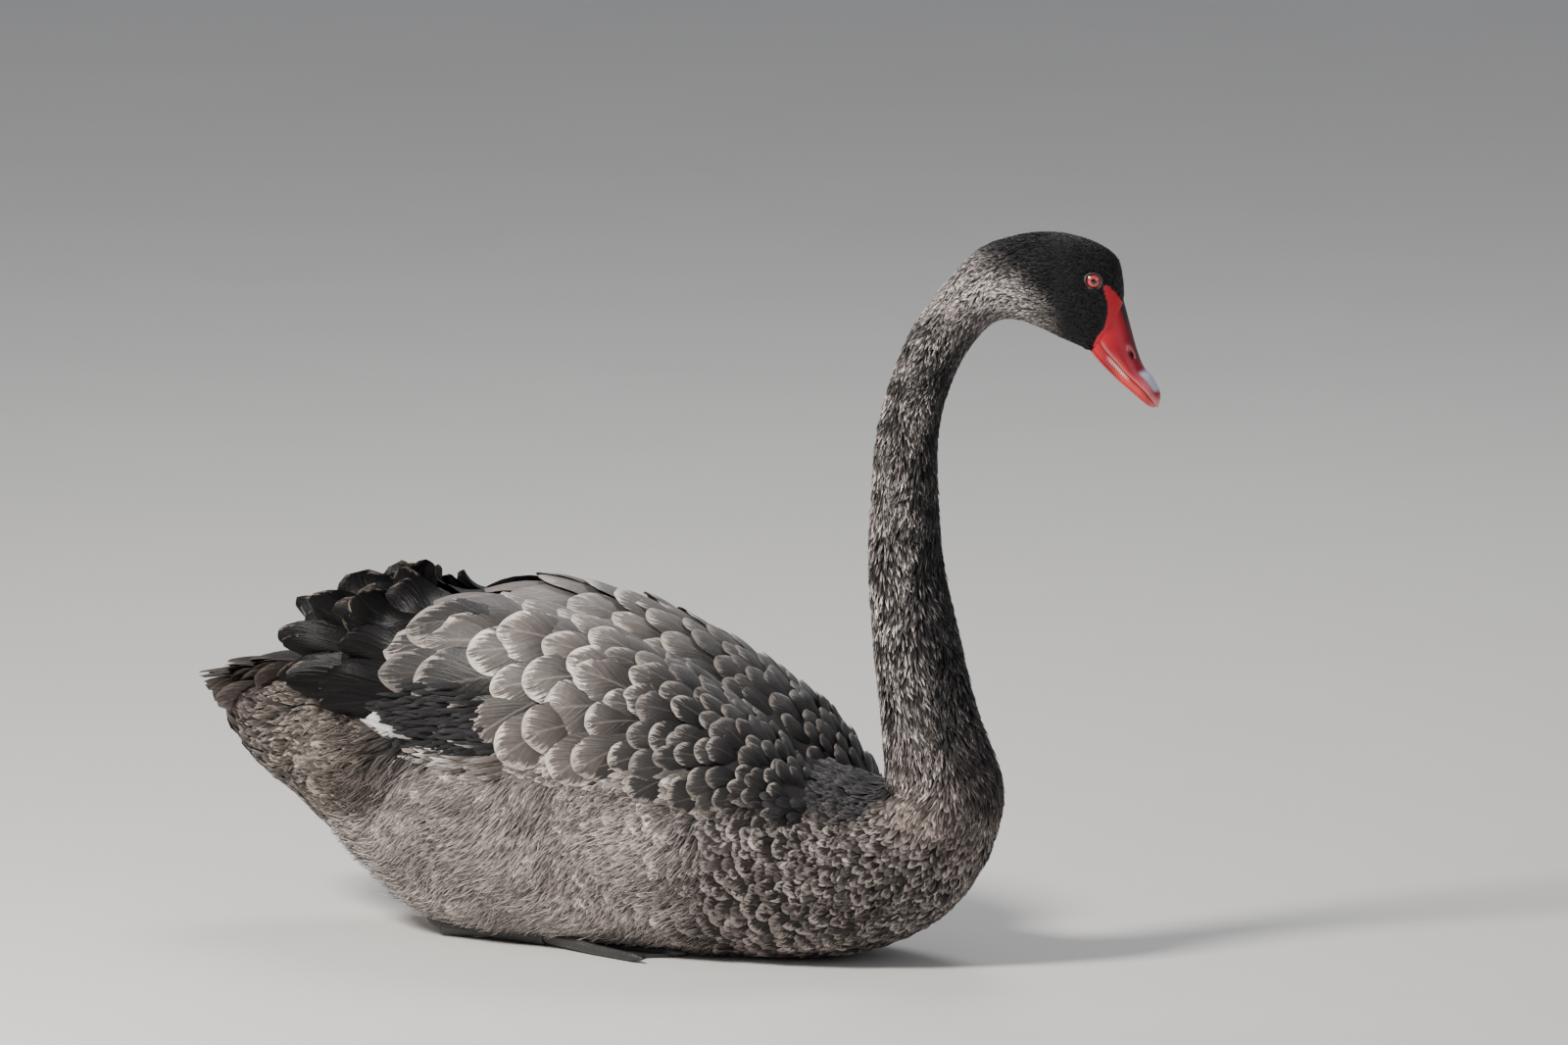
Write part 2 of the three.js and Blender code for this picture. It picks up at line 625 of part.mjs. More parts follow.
function tube(points, radii, sides = 8) {
  const line = points.map((p) => new THREE.Vector3(...p));
  const rings = line.map((point, i) => {
    const forward = line[Math.min(i + 1, line.length - 1)].clone().sub(line[Math.max(i - 1, 0)]).normalize();
    const across = new THREE.Vector3(0, 0, 1).cross(forward).normalize();
    const up = forward.clone().cross(across);
    const ring = [];
    for (let k = 0; k < sides; k++) {
      const angle = (2 * Math.PI * (k + 0.5)) / sides;
      const spot = point.clone();
      spot.addScaledVector(across, Math.cos(angle) * radii[i]);
      spot.addScaledVector(up, Math.sin(angle) * radii[i]);
      spot.z = Math.max(spot.z, 0);
      ring.push(spot);
    }
    return ring;
  });
  return solid(loft(rings));
}

function toeEnd(length, degrees, hand) {
  const angle = THREE.MathUtils.degToRad(degrees);
  return [ANKLE.x + length * Math.cos(angle), hand * (ANKLE.y + length * Math.sin(angle)), 3];
}

function legSolid(hand) {
  const hock = [HOCK.x, hand * HOCK.y, HOCK.z];
  const ankle = [ANKLE.x, hand * ANKLE.y, ANKLE.z];
  const knee = [HOCK.x + 14, hand * (HOCK.y - 3), 40];
  const thigh = tube([[HOCK.x - 4, hand * HOCK.y, 7], knee], [9, 15]);
  const middle = [-88, hand * 49, 7.5];
  const tarsus = tube([hock, middle, ankle], [HOCK.radius, TARSUS_RADIUS, TARSUS_RADIUS + 1]);
  const toes = [
    [FOOT.innerToe, -FOOT.spread],
    [FOOT.toeLength, 2],
    [FOOT.outerToe, FOOT.spread + 3],
  ].map(([length, degrees]) => {
    const end = toeEnd(length, degrees, hand);
    const knuckle = toeEnd(length * 0.55, degrees, hand);
    const claw = toeEnd(length + 9, degrees, hand);
    return tube([ankle, knuckle, end, claw], [FOOT.toeRadius + 2, FOOT.toeRadius, FOOT.toeRadius - 1, 0.7]);
  });
  const corners = [
    [FOOT.innerToe, -FOOT.spread],
    [FOOT.toeLength * 0.82, -FOOT.spread / 2],
    [FOOT.toeLength, 2],
    [FOOT.toeLength * 0.86, FOOT.spread * 0.6],
    [FOOT.outerToe, FOOT.spread + 3],
  ].map(([length, degrees]) => new THREE.Vector2(...toeEnd(length, degrees, hand)));
  const outline = [new THREE.Vector2(ankle[0], ankle[1]), ...corners];
  const webShape = { depth: FOOT.webThick, bevelEnabled: false };
  const web = new THREE.ExtrudeGeometry(new THREE.Shape(outline), webShape);
  return largest(join([thigh, tarsus, ...toes, solid(web)]).subtract(wholeGrown));
}

// The swan

const plumage = new THREE.MeshStandardMaterial({ color: 0x2b2725, roughness: 0.75, metalness: 0 });
const wingFeathers = new THREE.MeshStandardMaterial({ color: 0x4a423d, roughness: 0.7, metalness: 0 });
const billRed = new THREE.MeshStandardMaterial({ color: 0xb81522, roughness: 0.35, metalness: 0 });
const eyeRed = new THREE.MeshStandardMaterial({ color: 0xc2303a, roughness: 0.1, metalness: 0 });
const whiteFeathers = new THREE.MeshStandardMaterial({ color: 0xe9e6e0, roughness: 0.7, metalness: 0 });
const blackSkin = new THREE.MeshStandardMaterial({ color: 0x1b1a1c, roughness: 0.5, metalness: 0 });

const swan = new THREE.Group();

function add(name, made, material) {
  const { vertProperties, triVerts, numProp } = made.getMesh();
  const geometry = new THREE.BufferGeometry();
  const positions = new Float32Array((vertProperties.length / numProp) * 3);
  for (let i = 0; i < positions.length / 3; i++) {
    positions.set(vertProperties.subarray(i * numProp, i * numProp + 3), i * 3);
  }
  geometry.setAttribute("position", new THREE.BufferAttribute(positions, 3));
  geometry.setIndex(new THREE.BufferAttribute(triVerts, 1));
  geometry.computeVertexNormals();
  const mesh = new THREE.Mesh(geometry, material);
  mesh.name = name;
  swan.add(mesh);
}

add("torso", torsoWhole, plumage);
add("tail", tailSolid(), plumage);
add("neck_lower", neckLength(null, NECK_CUTS_Z[0]), plumage);
add("neck_middle", neckLength(NECK_CUTS_Z[0], NECK_CUTS_Z[1]), plumage);
add("neck_upper", beside(neckLength(NECK_CUTS_Z[1], null), -1), plumage);
add("head", headSolid(), plumage);
const billUpper = join([billSolid(true), nail()]).subtract(nostril(1)).subtract(nostril(-1));
add("bill_upper", largest(billUpper), billRed);
add("bill_lower", billSolid(false), billRed);
for (const [name, hand] of [["left", 1], ["right", -1]]) {
  add("eye_" + name, eyeball(hand, 0), eyeRed);
  add("wing_" + name, wingSolid(hand), wingFeathers);
  add("primaries_" + name, largest(primaries(hand, 0).subtract(wholeGrown)), whiteFeathers);
  add("leg_" + name, legSolid(hand), blackSkin);
}

export default swan;
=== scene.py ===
"""A life-size black swan at rest, dressed over its solids: skin, coat, wings, tail, bill, eyes and feet.

The body faces +X, its left is +Y, and the floor is z = 0. Lengths below are millimetres, and meshes
are made in metres. The head and upper neck are turned a little to the bird's left.
"""
import math

import bpy
import numpy as np
from mathutils import Matrix, Vector


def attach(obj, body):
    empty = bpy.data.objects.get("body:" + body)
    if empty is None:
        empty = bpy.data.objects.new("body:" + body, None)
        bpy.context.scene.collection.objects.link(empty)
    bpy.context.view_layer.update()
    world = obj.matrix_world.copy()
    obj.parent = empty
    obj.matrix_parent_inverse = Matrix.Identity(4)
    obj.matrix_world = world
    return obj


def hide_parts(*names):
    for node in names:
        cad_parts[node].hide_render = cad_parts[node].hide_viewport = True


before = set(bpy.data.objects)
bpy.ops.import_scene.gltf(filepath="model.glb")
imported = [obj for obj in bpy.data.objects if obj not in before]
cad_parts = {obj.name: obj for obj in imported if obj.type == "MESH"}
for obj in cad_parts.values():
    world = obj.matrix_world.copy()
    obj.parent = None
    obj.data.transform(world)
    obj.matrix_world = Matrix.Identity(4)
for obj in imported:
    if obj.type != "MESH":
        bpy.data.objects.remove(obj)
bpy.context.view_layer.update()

MM = 0.001
ROUND = 2 * math.pi
COARSER = 1.0

# The shape, from the same driving sizes as the solids

NECK_AXIS_X = 195.5  # upright axis that the head turns about
HEAD_TURN = math.radians(27)
TWIST_FROM_Z = 225
TWIST_TO_Z = 345
LAST_TORSO_STATION = 14
BELLY_SQUARENESS = 2.5

# upper x, upper z, lower x, lower z, half width, height share of the widest line
BODY_STATIONS = [
    [-303, 160, -304, 138, 12, 0.5],
    [-292, 164, -293, 116, 30, 0.55],
    [-268, 168, -271, 94, 45, 0.55],
    [-234, 173, -237, 74, 58, 0.55],
    [-190, 183, -194, 42, 71, 0.53],
    [-145, 188, -150, 11, 84, 0.54],
    [-95, 192, -98, -3, 93, 0.55],
    [-40, 192, -40, -5, 97, 0.56],
    [20, 174, 20, -5, 98, 0.59],
    [75, 149, 80, -4, 94, 0.62],
    [120, 131, 135, -1, 86, 0.61],
    [152, 123, 178, 8, 73, 0.58],
    [171, 119, 217, 28, 60, 0.55],
    [180, 117.5, 245, 58, 51, 0.52],
    [183.5, 118, 260, 92, 43, 0.5],
    [184.6, 122, 263.8, 124, 36, 0.5],
    [180.5, 167, 245.1, 173, 29, 0.5],
    [174.4, 216, 232.7, 220, 26, 0.5],
    [171, 265, 221.5, 267, 23.5, 0.5],
    [173.4, 315, 217.3, 315, 21.5, 0.5],
    [175.6, 348, 217.9, 352.5, 20.5, 0.5],
    [183.2, 381.5, 222.8, 375.6, 19.5, 0.5],
    [194.8, 413.7, 230.6, 396, 19, 0.5],
    [209.8, 438.7, 241, 413.1, 19.3, 0.5],
    [227.3, 460.4, 254, 426.2, 20, 0.5],
    [245.6, 477.6, 268.3, 428.9, 21.5, 0.5],
    [271.6, 486.1, 284.6, 423.6, 23, 0.5],
    [296.2, 487.4, 298.9, 416.4, 23.5, 0.5],
    [318.4, 482.2, 309.2, 411.7, 22, 0.5],
    [334.6, 471.6, 314.4, 409.1, 19.5, 0.5],
    [339.1, 456.5, 316.4, 408.5, 16.5, 0.5],
    [339.8, 441.4, 317.7, 407.8, 14, 0.5],
]
LAST_STATION = len(BODY_STATIONS) - 1
JAW_STATION = 25

# x, centre y, centre z, half width, half height
WING_STATIONS = [
    [158, 40, 96, 14, 6],
    [150, 40, 99, 26, 14],
    [135, 41, 106, 37, 22],
    [118, 42, 113, 45, 33],
    [100, 42, 121, 51, 41],
    [50, 43, 138, 57, 51],
    [0, 44, 147, 60, 62],
    [-50, 44, 154, 59, 67],
    [-100, 41, 160, 54, 64],
    [-150, 36, 163, 46, 48],
    [-190, 31, 167, 36, 34],
    [-220, 28, 170, 29, 27],
    [-260, 26, 172, 23, 20],
]
WING_CORE = {"inset": 2.5, "end_x": -200, "taper_from_x": -112, "end_share": 0.3, "ahead": 6}
MIDDLE_GAP = 0.4  # between each wing and the middle of the back

# culmen x, culmen z, mouth line x, mouth line z, chin line x, chin line z, half width
BILL_STATIONS = [
    [339.8, 441.4, 323.1, 416, 317.7, 407.8, 14],
    [344.1, 425.2, 328.2, 408.8, 324.7, 399.6, 13],
    [348.6, 408.6, 335.2, 401, 333.6, 390.5, 12],
    [353.1, 397.4, 341.9, 393.6, 339.1, 385.4, 11.8],
    [358.8, 390.9, 347.9, 387.9, 345.6, 379.9, 12.2],
    [363, 382.9, 352.9, 382.9, 350.9, 375.2, 11.8],
    [364, 376.4, 357.6, 376.6, 356.1, 371.3, 8.5],
    [362.4, 370.4, 360.6, 371.2, 359.6, 369.8, 3.2],
]

EYE = {"x": 319.6, "z": 457.2, "side": 13.2, "radius": 7.4, "iris": 4.3, "bare": 6.3}

# The bare red skin from the eye down to the bill, seen from the side, on the head's own side
LORE = [
    (325.4, 453.8), (327.3, 447.9), (328.9, 440.3), (328.6, 433.8), (326.3, 425), (321.9, 419.6),
    (319, 412), (345, 409), (345, 441.6), (338.6, 441.6), (336, 446.9), (332.2, 452.4), (328.4, 454.4),
]
LORE_BASE_Z = 441  # above this the red stays off the forehead's middle


def smooth(low, high, value):
    share = np.clip((np.asarray(value, float) - low) / (high - low), 0, 1)
    return share * share * (3 - 2 * share)


def lerp(a, b, share):
    return a + (b - a) * share


def along(rows, t):
    """A smooth curve through rows of numbers, for an array of t from 0 to 1."""
    rows = np.asarray(rows, float)
    last = len(rows) - 1
    place = np.clip(np.asarray(t, float), 0, 1) * last
    i = np.minimum(place.astype(int), last - 1)
    u = (place - i)[..., None]
    ends = np.vstack([2 * rows[0] - rows[1], rows, 2 * rows[-1] - rows[-2]])
    a, b, c, d = (ends[i + k] for k in range(4))
    slope_in, slope_out, rise = (c - a) / 2, (d - b) / 2, c - b
    cubic = slope_in + slope_out - 2 * rise
    return b + u * (slope_in + u * (3 * rise - 2 * slope_in - slope_out + u * cubic))


def unit(v):
    return v / np.maximum(np.linalg.norm(v, axis=-1, keepdims=True), 1e-9)


def circle(count):
    return np.linspace(0, ROUND, count, endpoint=False)


def station_of(t):
    return np.asarray(t) * LAST_STATION


def turned(points):
    """Turns the neck and head to the bird's left."""
    angle = HEAD_TURN * smooth(TWIST_FROM_Z, TWIST_TO_Z, points[..., 2])
    dx, y = points[..., 0] - NECK_AXIS_X, points[..., 1]
    c, s = np.cos(angle), np.sin(angle)
    return np.stack([NECK_AXIS_X + dx * c - y * s, dx * s + y * c, points[..., 2]], -1)


def turned_past_torso(t, points):
    is_neck = np.broadcast_to(station_of(t) > LAST_TORSO_STATION + 1, points.shape[:-1])
    return np.where(is_neck[..., None], turned(points), points)


class Body:
    """The body's surface: t runs from the rump to the bill, and the angle round it from the top."""

    dt, da, outward = 0.0008, 0.02, 1

    def flat(self, t, angle, grow=0.0):
        """Points before the head is turned, moved outward by grow."""
        t, angle = np.broadcast_arrays(np.asarray(t, float), np.asarray(angle, float))
        ux, uz, lx, lz, half, share = np.moveaxis(along(BODY_STATIONS, t), -1, 0)
        mx, mz = lerp(lx, ux, share), lerp(lz, uz, share)
        c, s = np.cos(angle), np.sin(angle)
        above = c >= 0
        ax, az = np.where(above, ux, lx) - mx, np.where(above, uz, lz) - mz
        station = station_of(t)
        belly = 1 - smooth(LAST_TORSO_STATION - 4, LAST_TORSO_STATION, station)
        square = 2 + (BELLY_SQUARENESS - 2) * belly * smooth(1, 5, station)
        power = np.where(above, 1.0, 2 / square)
        arm = np.maximum(np.hypot(ax, az), 1e-6)
        reach = np.abs(c) ** power * (arm + grow) / arm
        across = np.sign(s) * np.abs(s) ** power * (half + grow)
        z = np.maximum(mz + az * reach, -np.asarray(grow, float))
        return np.stack([mx + ax * reach, across, z], -1)

    def at(self, t, angle, grow=0.0):
        return turned_past_torso(t, self.flat(t, angle, grow))


class Wing:
    """The folded wing's outer surface: t is x, and the angle is 0 at the side and a right angle on top."""

    dt, da = 1.0, 0.02

    def __init__(self, hand):
        self.hand = hand
        self.outward = -hand
        self.xs = np.array([row[0] for row in WING_STATIONS][::-1], float)

    def section(self, x):
        """Centre y and z, half width and half height at x."""
        inside = np.clip(x, self.xs[0], self.xs[-1])
        t = 1 - np.interp(inside, self.xs, np.linspace(0, 1, len(self.xs)))
        return np.moveaxis(along(WING_STATIONS, t), -1, 0)[1:]

    def at(self, x, angle, grow=0.0):
        x, angle = np.broadcast_arrays(np.asarray(x, float), np.asarray(angle, float))
        cy, cz, half, rise = self.section(x)
        y = self.hand * (cy + (half + grow) * np.cos(angle))
        return np.stack([x, y, cz + (rise + grow) * np.sin(angle)], -1)

    def holds(self, points, margin):
        """Whether points lie inside the wing by more than a margin."""
        cy, cz, half, rise = self.section(points[..., 0])
        y, z = self.hand * points[..., 1] - cy, points[..., 2] - cz
        far = (y / np.maximum(half - margin, 1)) ** 2 + (z / np.maximum(rise - margin, 1)) ** 2 > 1
        return ~far & (points[..., 0] > WING_CORE["end_x"] + 10) & (points[..., 0] < self.xs[-1])


def surface_frame(surface, t, angle, grow):
    """Point, its change along and round, and the outward direction."""
    ahead = surface.at(t + surface.dt, angle, grow) - surface.at(t - surface.dt, angle, grow)
    round_ = surface.at(t, angle + surface.da, grow) - surface.at(t, angle - surface.da, grow)
    out = surface.outward * unit(np.cross(ahead, round_))
    return surface.at(t, angle, grow), ahead / (2 * surface.dt), round_ / (2 * surface.da), out


BODY = Body()
HANDS = {"left": 1, "right": -1}
WINGS = {side: Wing(hand) for side, hand in HANDS.items()}

# Meshes


def uv_grid(u, v):
    return np.stack(np.broadcast_arrays(u, v), -1)


def build_mesh(name, points, quads, tris, uvs, colours, sharp):
    """A mesh object from millimetre points, with faces shaded smooth up to an angle."""
    loops = np.concatenate([quads.ravel(), tris.ravel()]).astype(np.int32)
    starts = np.concatenate([np.arange(len(quads)) * 4, len(quads) * 4 + np.arange(len(tris)) * 3])
    mesh = bpy.data.meshes.new(name)
    mesh.vertices.add(len(points))
    mesh.vertices.foreach_set("co", (points * MM).astype(np.float32).ravel())
    mesh.loops.add(len(loops))
    mesh.loops.foreach_set("vertex_index", loops)
    mesh.polygons.add(len(starts))
    mesh.polygons.foreach_set("loop_start", starts.astype(np.int32))
    mesh.update(calc_edges=True)
    for layer, places in uvs.items():
        mesh.uv_layers.new(name=layer).data.foreach_set("uv", places[loops].astype(np.float32).ravel())
    for layer, values in colours.items():
        opaque = np.concatenate([values, np.ones((len(values), 1))], 1).astype(np.float32)
        mesh.color_attributes.new(layer, "FLOAT_COLOR", "POINT").data.foreach_set("color", opaque.ravel())
    mesh.shade_smooth()
    mesh.set_sharp_from_angle(angle=math.radians(sharp))
    mesh.validate()
    thing = bpy.data.objects.new(name, mesh)
    bpy.context.scene.collection.objects.link(thing)
    return thing


def grid_faces(rows, cols, ring=False):
    """Quads of a grid of rows by cols, joined round each row, and the last row to the first for a ring."""
    i, j = np.meshgrid(np.arange(rows if ring else rows - 1), np.arange(cols), indexing="ij")
    here, there, n = i * cols, (i + 1) % rows * cols, (j + 1) % cols
    return np.stack([here + j, here + n, there + n, there + j], -1).reshape(-1, 4)


def tube_mesh(name, rings, uvs, colours, sharp, flip=False):
    """A closed mesh from rings of points (rows, cols, 3), flipped where they run the other way round."""
    rows, cols = rings.shape[:2]
    k = np.arange(cols)
    n = (k + 1) % cols
    first, last, last_row = rows * cols, rows * cols + 1, (rows - 1) * cols
    quads = grid_faces(rows, cols)
    tris = np.concatenate([
        np.stack([np.full(cols, first), n, k], -1),
        np.stack([np.full(cols, last), last_row + k, last_row + n], -1),
    ])
    if flip:
        quads, tris = quads[:, ::-1], tris[:, ::-1]

    def with_ends(values):
        return np.concatenate([values.reshape(-1, values.shape[-1]), values[[0, -1]].mean(1)])

    uvs = {layer: with_ends(values) for layer, values in uvs.items()}
    colours = {layer: with_ends(values) for layer, values in colours.items()}
    return build_mesh(name, with_ends(rings), quads, tris, uvs, colours, sharp)


# Feathers

TUFT_PATCH = 0.003  # of a tuft on the bake's map
VANE_THINNING = 0.5  # from root to tip
RUFFLE_POWER = 1.6  # how far a ruffle keeps to the edges
FLOOR_CLEARANCE = 0.05
VANE_SHARP = 50

FACE_STEPS = np.array([0, 0.45, 0.8, 1])
RUMP_STEPS = np.array([0, 0.4, 0.8, 1])
FIVE_STEPS = np.array([0, 0.3, 0.6, 0.85, 1])
STRAND_STEPS = np.array([0, 0.55, 1])
VANE_STEPS = np.linspace(0, 1, 12)


def lay(surface, t, angle, length, lean, steps, root, lift, grow=0.0):
    """Middle lines of feathers laid back over a surface from their roots, and their outward directions."""
    lines, outs = [], []
    last = 0.0
    for u in steps:
        step = (u - last) * length
        last = u
        if u:
            _, ahead, round_, _ = surface_frame(surface, t, angle, grow)
            t = t - step * np.cos(lean) / np.maximum(np.linalg.norm(ahead, axis=-1), 1e-6)
            angle = angle + step * np.sin(lean) / np.maximum(np.linalg.norm(round_, axis=-1), 2)
        point, _, _, out = surface_frame(surface, t, angle, grow)
        height = root + (lift - root) * math.sin(u * math.pi / 2)
        lines.append(point + out * np.reshape(height, (-1, 1)))
        outs.append(out)
    return np.stack(lines, 1), np.stack(outs, 1)


def curl(lines, outs, steps, length, bend, start, end):
    """Bends the ends of feathers up off the surface, about their own width."""
    for k in range(1, len(steps)):
        if steps[k] <= start:
            continue
        swing = bend * (smooth(start, end, steps[k]) - smooth(start, end, max(steps[k - 1], start)))
        back = unit(lines[:, k - 1] - lines[:, k - 2])
        c, s = np.cos(swing)[:, None], np.sin(swing)[:, None]
        ahead = unit(back * c + outs[:, k - 1] * s)
        lines[:, k] = lines[:, k - 1] + ahead * ((steps[k] - steps[k - 1]) * length)[:, None]
        outs[:, k] = unit(outs[:, k - 1] * c - back * s)
    return lines, outs


def blunt(steps, root, widest, tip):
    """A feather's width along its length: narrow at the root, widest at a place, rounded at the tip."""
    rise = root + (1 - root) * np.sin(np.clip(steps / widest, 0, 1) * math.pi / 2)
    past = np.clip((steps - widest) / (1 - widest), 0, 1)
    fall = np.sqrt(np.maximum(1 - past**2 * (1 - tip * tip), 0))
    return np.where(steps < widest, rise, fall)


def frayed(random, count, steps, cols, amount):
    """Uneven sides of a vane, strongest at its edges and towards its tip."""
    rough = random.normal(0, 1, (count, len(steps), 1)) * amount
    rough = rough + random.normal(0, 1, (count, len(steps), cols)) * amount * 0.4
    return 1 + rough * np.linspace(0.2, 1, len(steps))[None, :, None]


def vane_rings(lines, outs, steps, wide, form, cols, roll, camber, thick, ruffle=0.0, fray=1.0):
    """Rings of closed vanes (count, rows, 2 cols - 2, 3). Form is what blunt takes after the steps."""
    ahead = unit(np.gradient(lines, axis=1))
    across = unit(np.cross(outs, ahead))
    up = np.cross(ahead, across)
    roll = np.broadcast_to(np.reshape(roll, (len(lines), -1)), lines.shape[:2])
    c, s = np.cos(roll)[..., None], np.sin(roll)[..., None]
    across, up = across * c + up * s, up * c - across * s
    spots = np.linspace(-1, 1, cols)
    half = (wide[:, None] * blunt(steps, *form)[None, :] / 2)[:, :, None]
    sides = np.repeat(half, cols, 2) * fray
    height = ruffle * np.abs(spots) ** RUFFLE_POWER - camber * spots**2 * half
    body = thick * (1 - VANE_THINNING * steps[None, :, None]) * (1 - spots**2) / 2
    up = up[:, :, None]
    middle = lines[:, :, None] + across[:, :, None] * (spots * sides)[..., None] + up * height[..., None]
    under = (middle - up * body[..., None])[:, :, 1:-1][:, :, ::-1]
    return np.concatenate([middle + up * body[..., None], under], 2)


def vanes(name, rings, steps, roots_uv, base, tip, patch=TUFT_PATCH):
    """One mesh of many closed vanes. roots_uv places each on the bake's map, in a patch."""
    count, rows, ring = rings.shape[:3]
    cols = ring // 2 + 1
    j = np.arange(1, cols - 2)
    cap_quads = np.stack([j, ring - j, ring - j - 1, j + 1], -1)
    cap_tris = np.array([[0, ring - 1, 1], [cols - 2, cols, cols - 1]])
    last_row = (rows - 1) * ring
    quads = np.concatenate([grid_faces(rows, ring), cap_quads, cap_quads[:, ::-1] + last_row])
    tris = np.concatenate([cap_tris, cap_tris[:, ::-1] + last_row])
    shift = (np.arange(count) * rows * ring)[:, None, None]
    spots = np.linspace(-1, 1, cols)
    across = np.concatenate([spots, spots[1:-1][::-1]]) / 2 + 0.5
    local = np.broadcast_to(uv_grid(across[None], steps[:, None]), (count, rows, ring, 2))
    bake = np.clip(roots_uv[:, None, None, :] + (local - 0.5) * patch, 0, 1)
    uvs = {"OFBake": bake.reshape(-1, 2), "vane": local.reshape(-1, 2)}
    colours = {"base": np.repeat(base, rows * ring, 0), "tip": np.repeat(tip, rows * ring, 0)}
    points = rings.reshape(-1, 3)
    points[:, 2] = np.maximum(points[:, 2], FLOOR_CLEARANCE)
    quads, tris = (quads[None] + shift).reshape(-1, 4), (tris[None] + shift).reshape(-1, 3)
    return build_mesh(name, points, quads, tris, uvs, colours, VANE_SHARP)


# Colour, by place on the body, for skin and coat alike. Each pair is a feather's base and its tip

FACE = ((0.0055, 0.0052, 0.0064), (0.026, 0.0242, 0.0275))
NAPE = ((0.17, 0.150, 0.142), (0.85, 0.77, 0.73))
NECK = ((0.0145, 0.0127, 0.0122), (0.66, 0.575, 0.545))
# The front of the neck: partly its own blacker tone, partly painted shade on the side turned from the light
NECK_FRONT_TONE_AND_SHADE = (0.0065, 0.006, 0.007)
NECK_BASE_WARM = (0.34, 0.27, 0.235)
FLANK = ((0.19, 0.160, 0.145), (0.86, 0.775, 0.73))
# Towards the breast: partly its own darker tone, partly painted shade on the side turned from the light
BREAST_SIDE_TONE_AND_SHADE = ((0.030, 0.025, 0.024), (0.37, 0.312, 0.289))
THIGH = ((0.0070, 0.0068, 0.0080), (0.027, 0.025, 0.0275))
RUMP = ((0.048, 0.038, 0.033), (0.33, 0.275, 0.24))
UNDERTAIL = ((0.050, 0.040, 0.037), (0.16, 0.135, 0.125))
MANTLE = ((0.013, 0.0122, 0.0132), (0.075, 0.069, 0.072))
LORE_RED = (0.56, 0.005, 0.020)
THIGH_PATCH = {"x": -86, "z": 158, "long": 54, "high": 23, "edge": (0.7, 1.3)}
WHITE_PATCH = {"x": -152, "z": 140, "long": 17, "high": 8.5, "slope": -0.6}
# The dark rear edge of the flank, with the heights over which it comes in and goes out
REAR_EDGE = {"x": -133, "z": 120, "slope": 0.83, "width": 5.5, "in": (81, 93), "out": (131, 145)}

# Stretches of stations over which a marking comes in, and of the angle from the top
ZONES = {
    "undertail_end": (1.6, 3.2), "mantle": (5, 8), "shoulder": (9.5, 11), "neck": (13.9, 15.4),
    "warm": (13.2, 14.2), "warm_end": (14.2, 16.4), "crown": (22, 24.5), "head": (23.2, 25.8),
    "face": (25.1, 26.9), "front_angle": (1.75, 2.3), "warm_angle": (0.5, 1.3), "throat_angle": (2.4, 2.9),
}


def zone(name, value):
    return smooth(*ZONES[name], value)


def blend(a, b, share):
    share = np.asarray(share, float)[..., None]
    return np.asarray(a) * (1 - share) + np.asarray(b) * share


def blend_pair(tones, pair, share, tip_share=None):
    """Blends base and tip colours towards another pair."""
    tip_share = share if tip_share is None else tip_share
    return blend(tones[0], pair[0], share), blend(tones[1], pair[1], tip_share)


def flank_tones(points):
    """Base and tip colours on the side of the body under the wing, by place."""
    x, z = points[..., 0], points[..., 2]
    # Darker forward and lower down: partly the breast's own tone, partly painted shade.
    breast_tone_and_shade = smooth(52, 108, x + 0.25 * (60 - z) + 6 * np.sin(z * 0.11))
    past_edge = x - REAR_EDGE["slope"] * (z - REAR_EDGE["z"]) - REAR_EDGE["x"]
    rump = 1 - smooth(-9, 3, past_edge)
    band = np.exp(-((past_edge / REAR_EDGE["width"]) ** 2))
    band = band * smooth(*REAR_EDGE["in"], z) * (1 - smooth(*REAR_EDGE["out"], z))
    along_patch = (x - THIGH_PATCH["x"]) / THIGH_PATCH["long"]
    up_patch = (z - THIGH_PATCH["z"]) / THIGH_PATCH["high"]
    thigh = np.maximum(1 - smooth(*THIGH_PATCH["edge"], along_patch**4 + up_patch**4), 0.85 * band)
    tones = blend_pair(FLANK, BREAST_SIDE_TONE_AND_SHADE, breast_tone_and_shade)
    return blend_pair(blend_pair(tones, RUMP, rump), THIGH, thigh)


def coat_colours(t, angle):
    """Base and tip colours of the coat at places on the body."""
    station = station_of(t)
    side = np.abs(np.mod(np.asarray(angle) + math.pi, ROUND) - math.pi)
    front = zone("front_angle", side)
    tones = blend_pair(flank_tones(BODY.flat(t, angle)), UNDERTAIL, 1 - zone("undertail_end", station))
    shoulder = zone("shoulder", station)
    down_side = smooth(1.0 - 0.2 * shoulder, 1.5 - 0.3 * shoulder, side)
    tones = blend_pair(tones, MANTLE, zone("mantle", station) * (1 - down_side))
    # The front of the neck comes out darker, with dull tips: partly its own tone, partly painted shade.
    neck_tones = blend(NECK[0], NECK_FRONT_TONE_AND_SHADE, front), blend(NECK[1], NECK[0], 0.82 * front)
    tones = blend_pair(tones, neck_tones, zone("neck", station - 1.1 * np.clip(np.cos(side), 0, 1)))
    warm = zone("warm", station) * (1 - zone("warm_end", station))
    warm = warm * (1 - 0.6 * front) * zone("warm_angle", side)
    tones = blend_pair(tones, (NECK_BASE_WARM, NECK_BASE_WARM), 0.3 * warm, 0.6 * warm)
    face = zone("face", station + 1.3 * np.cos(side) * zone("crown", station))
    nape = zone("head", station) * (1 - face) * (1 - 0.4 * zone("throat_angle", side))
    tones = blend_pair(tones, NAPE, 0.8 * nape, 0.9 * nape)
    return blend_pair(tones, FACE, face)


def patches(points, size):
    """A slow variation of tone over the body, about one."""
    a, b, c = (points[..., k] / size for k in range(3))
    wave = np.sin(a * 1.7 + 2 * np.sin(c * 1.3)) + np.sin(c * 2.3 + 1.6 * np.sin(a * 0.9 + b))
    return 1 + (wave + np.sin((a - c) * 3.1 + b)) / 3


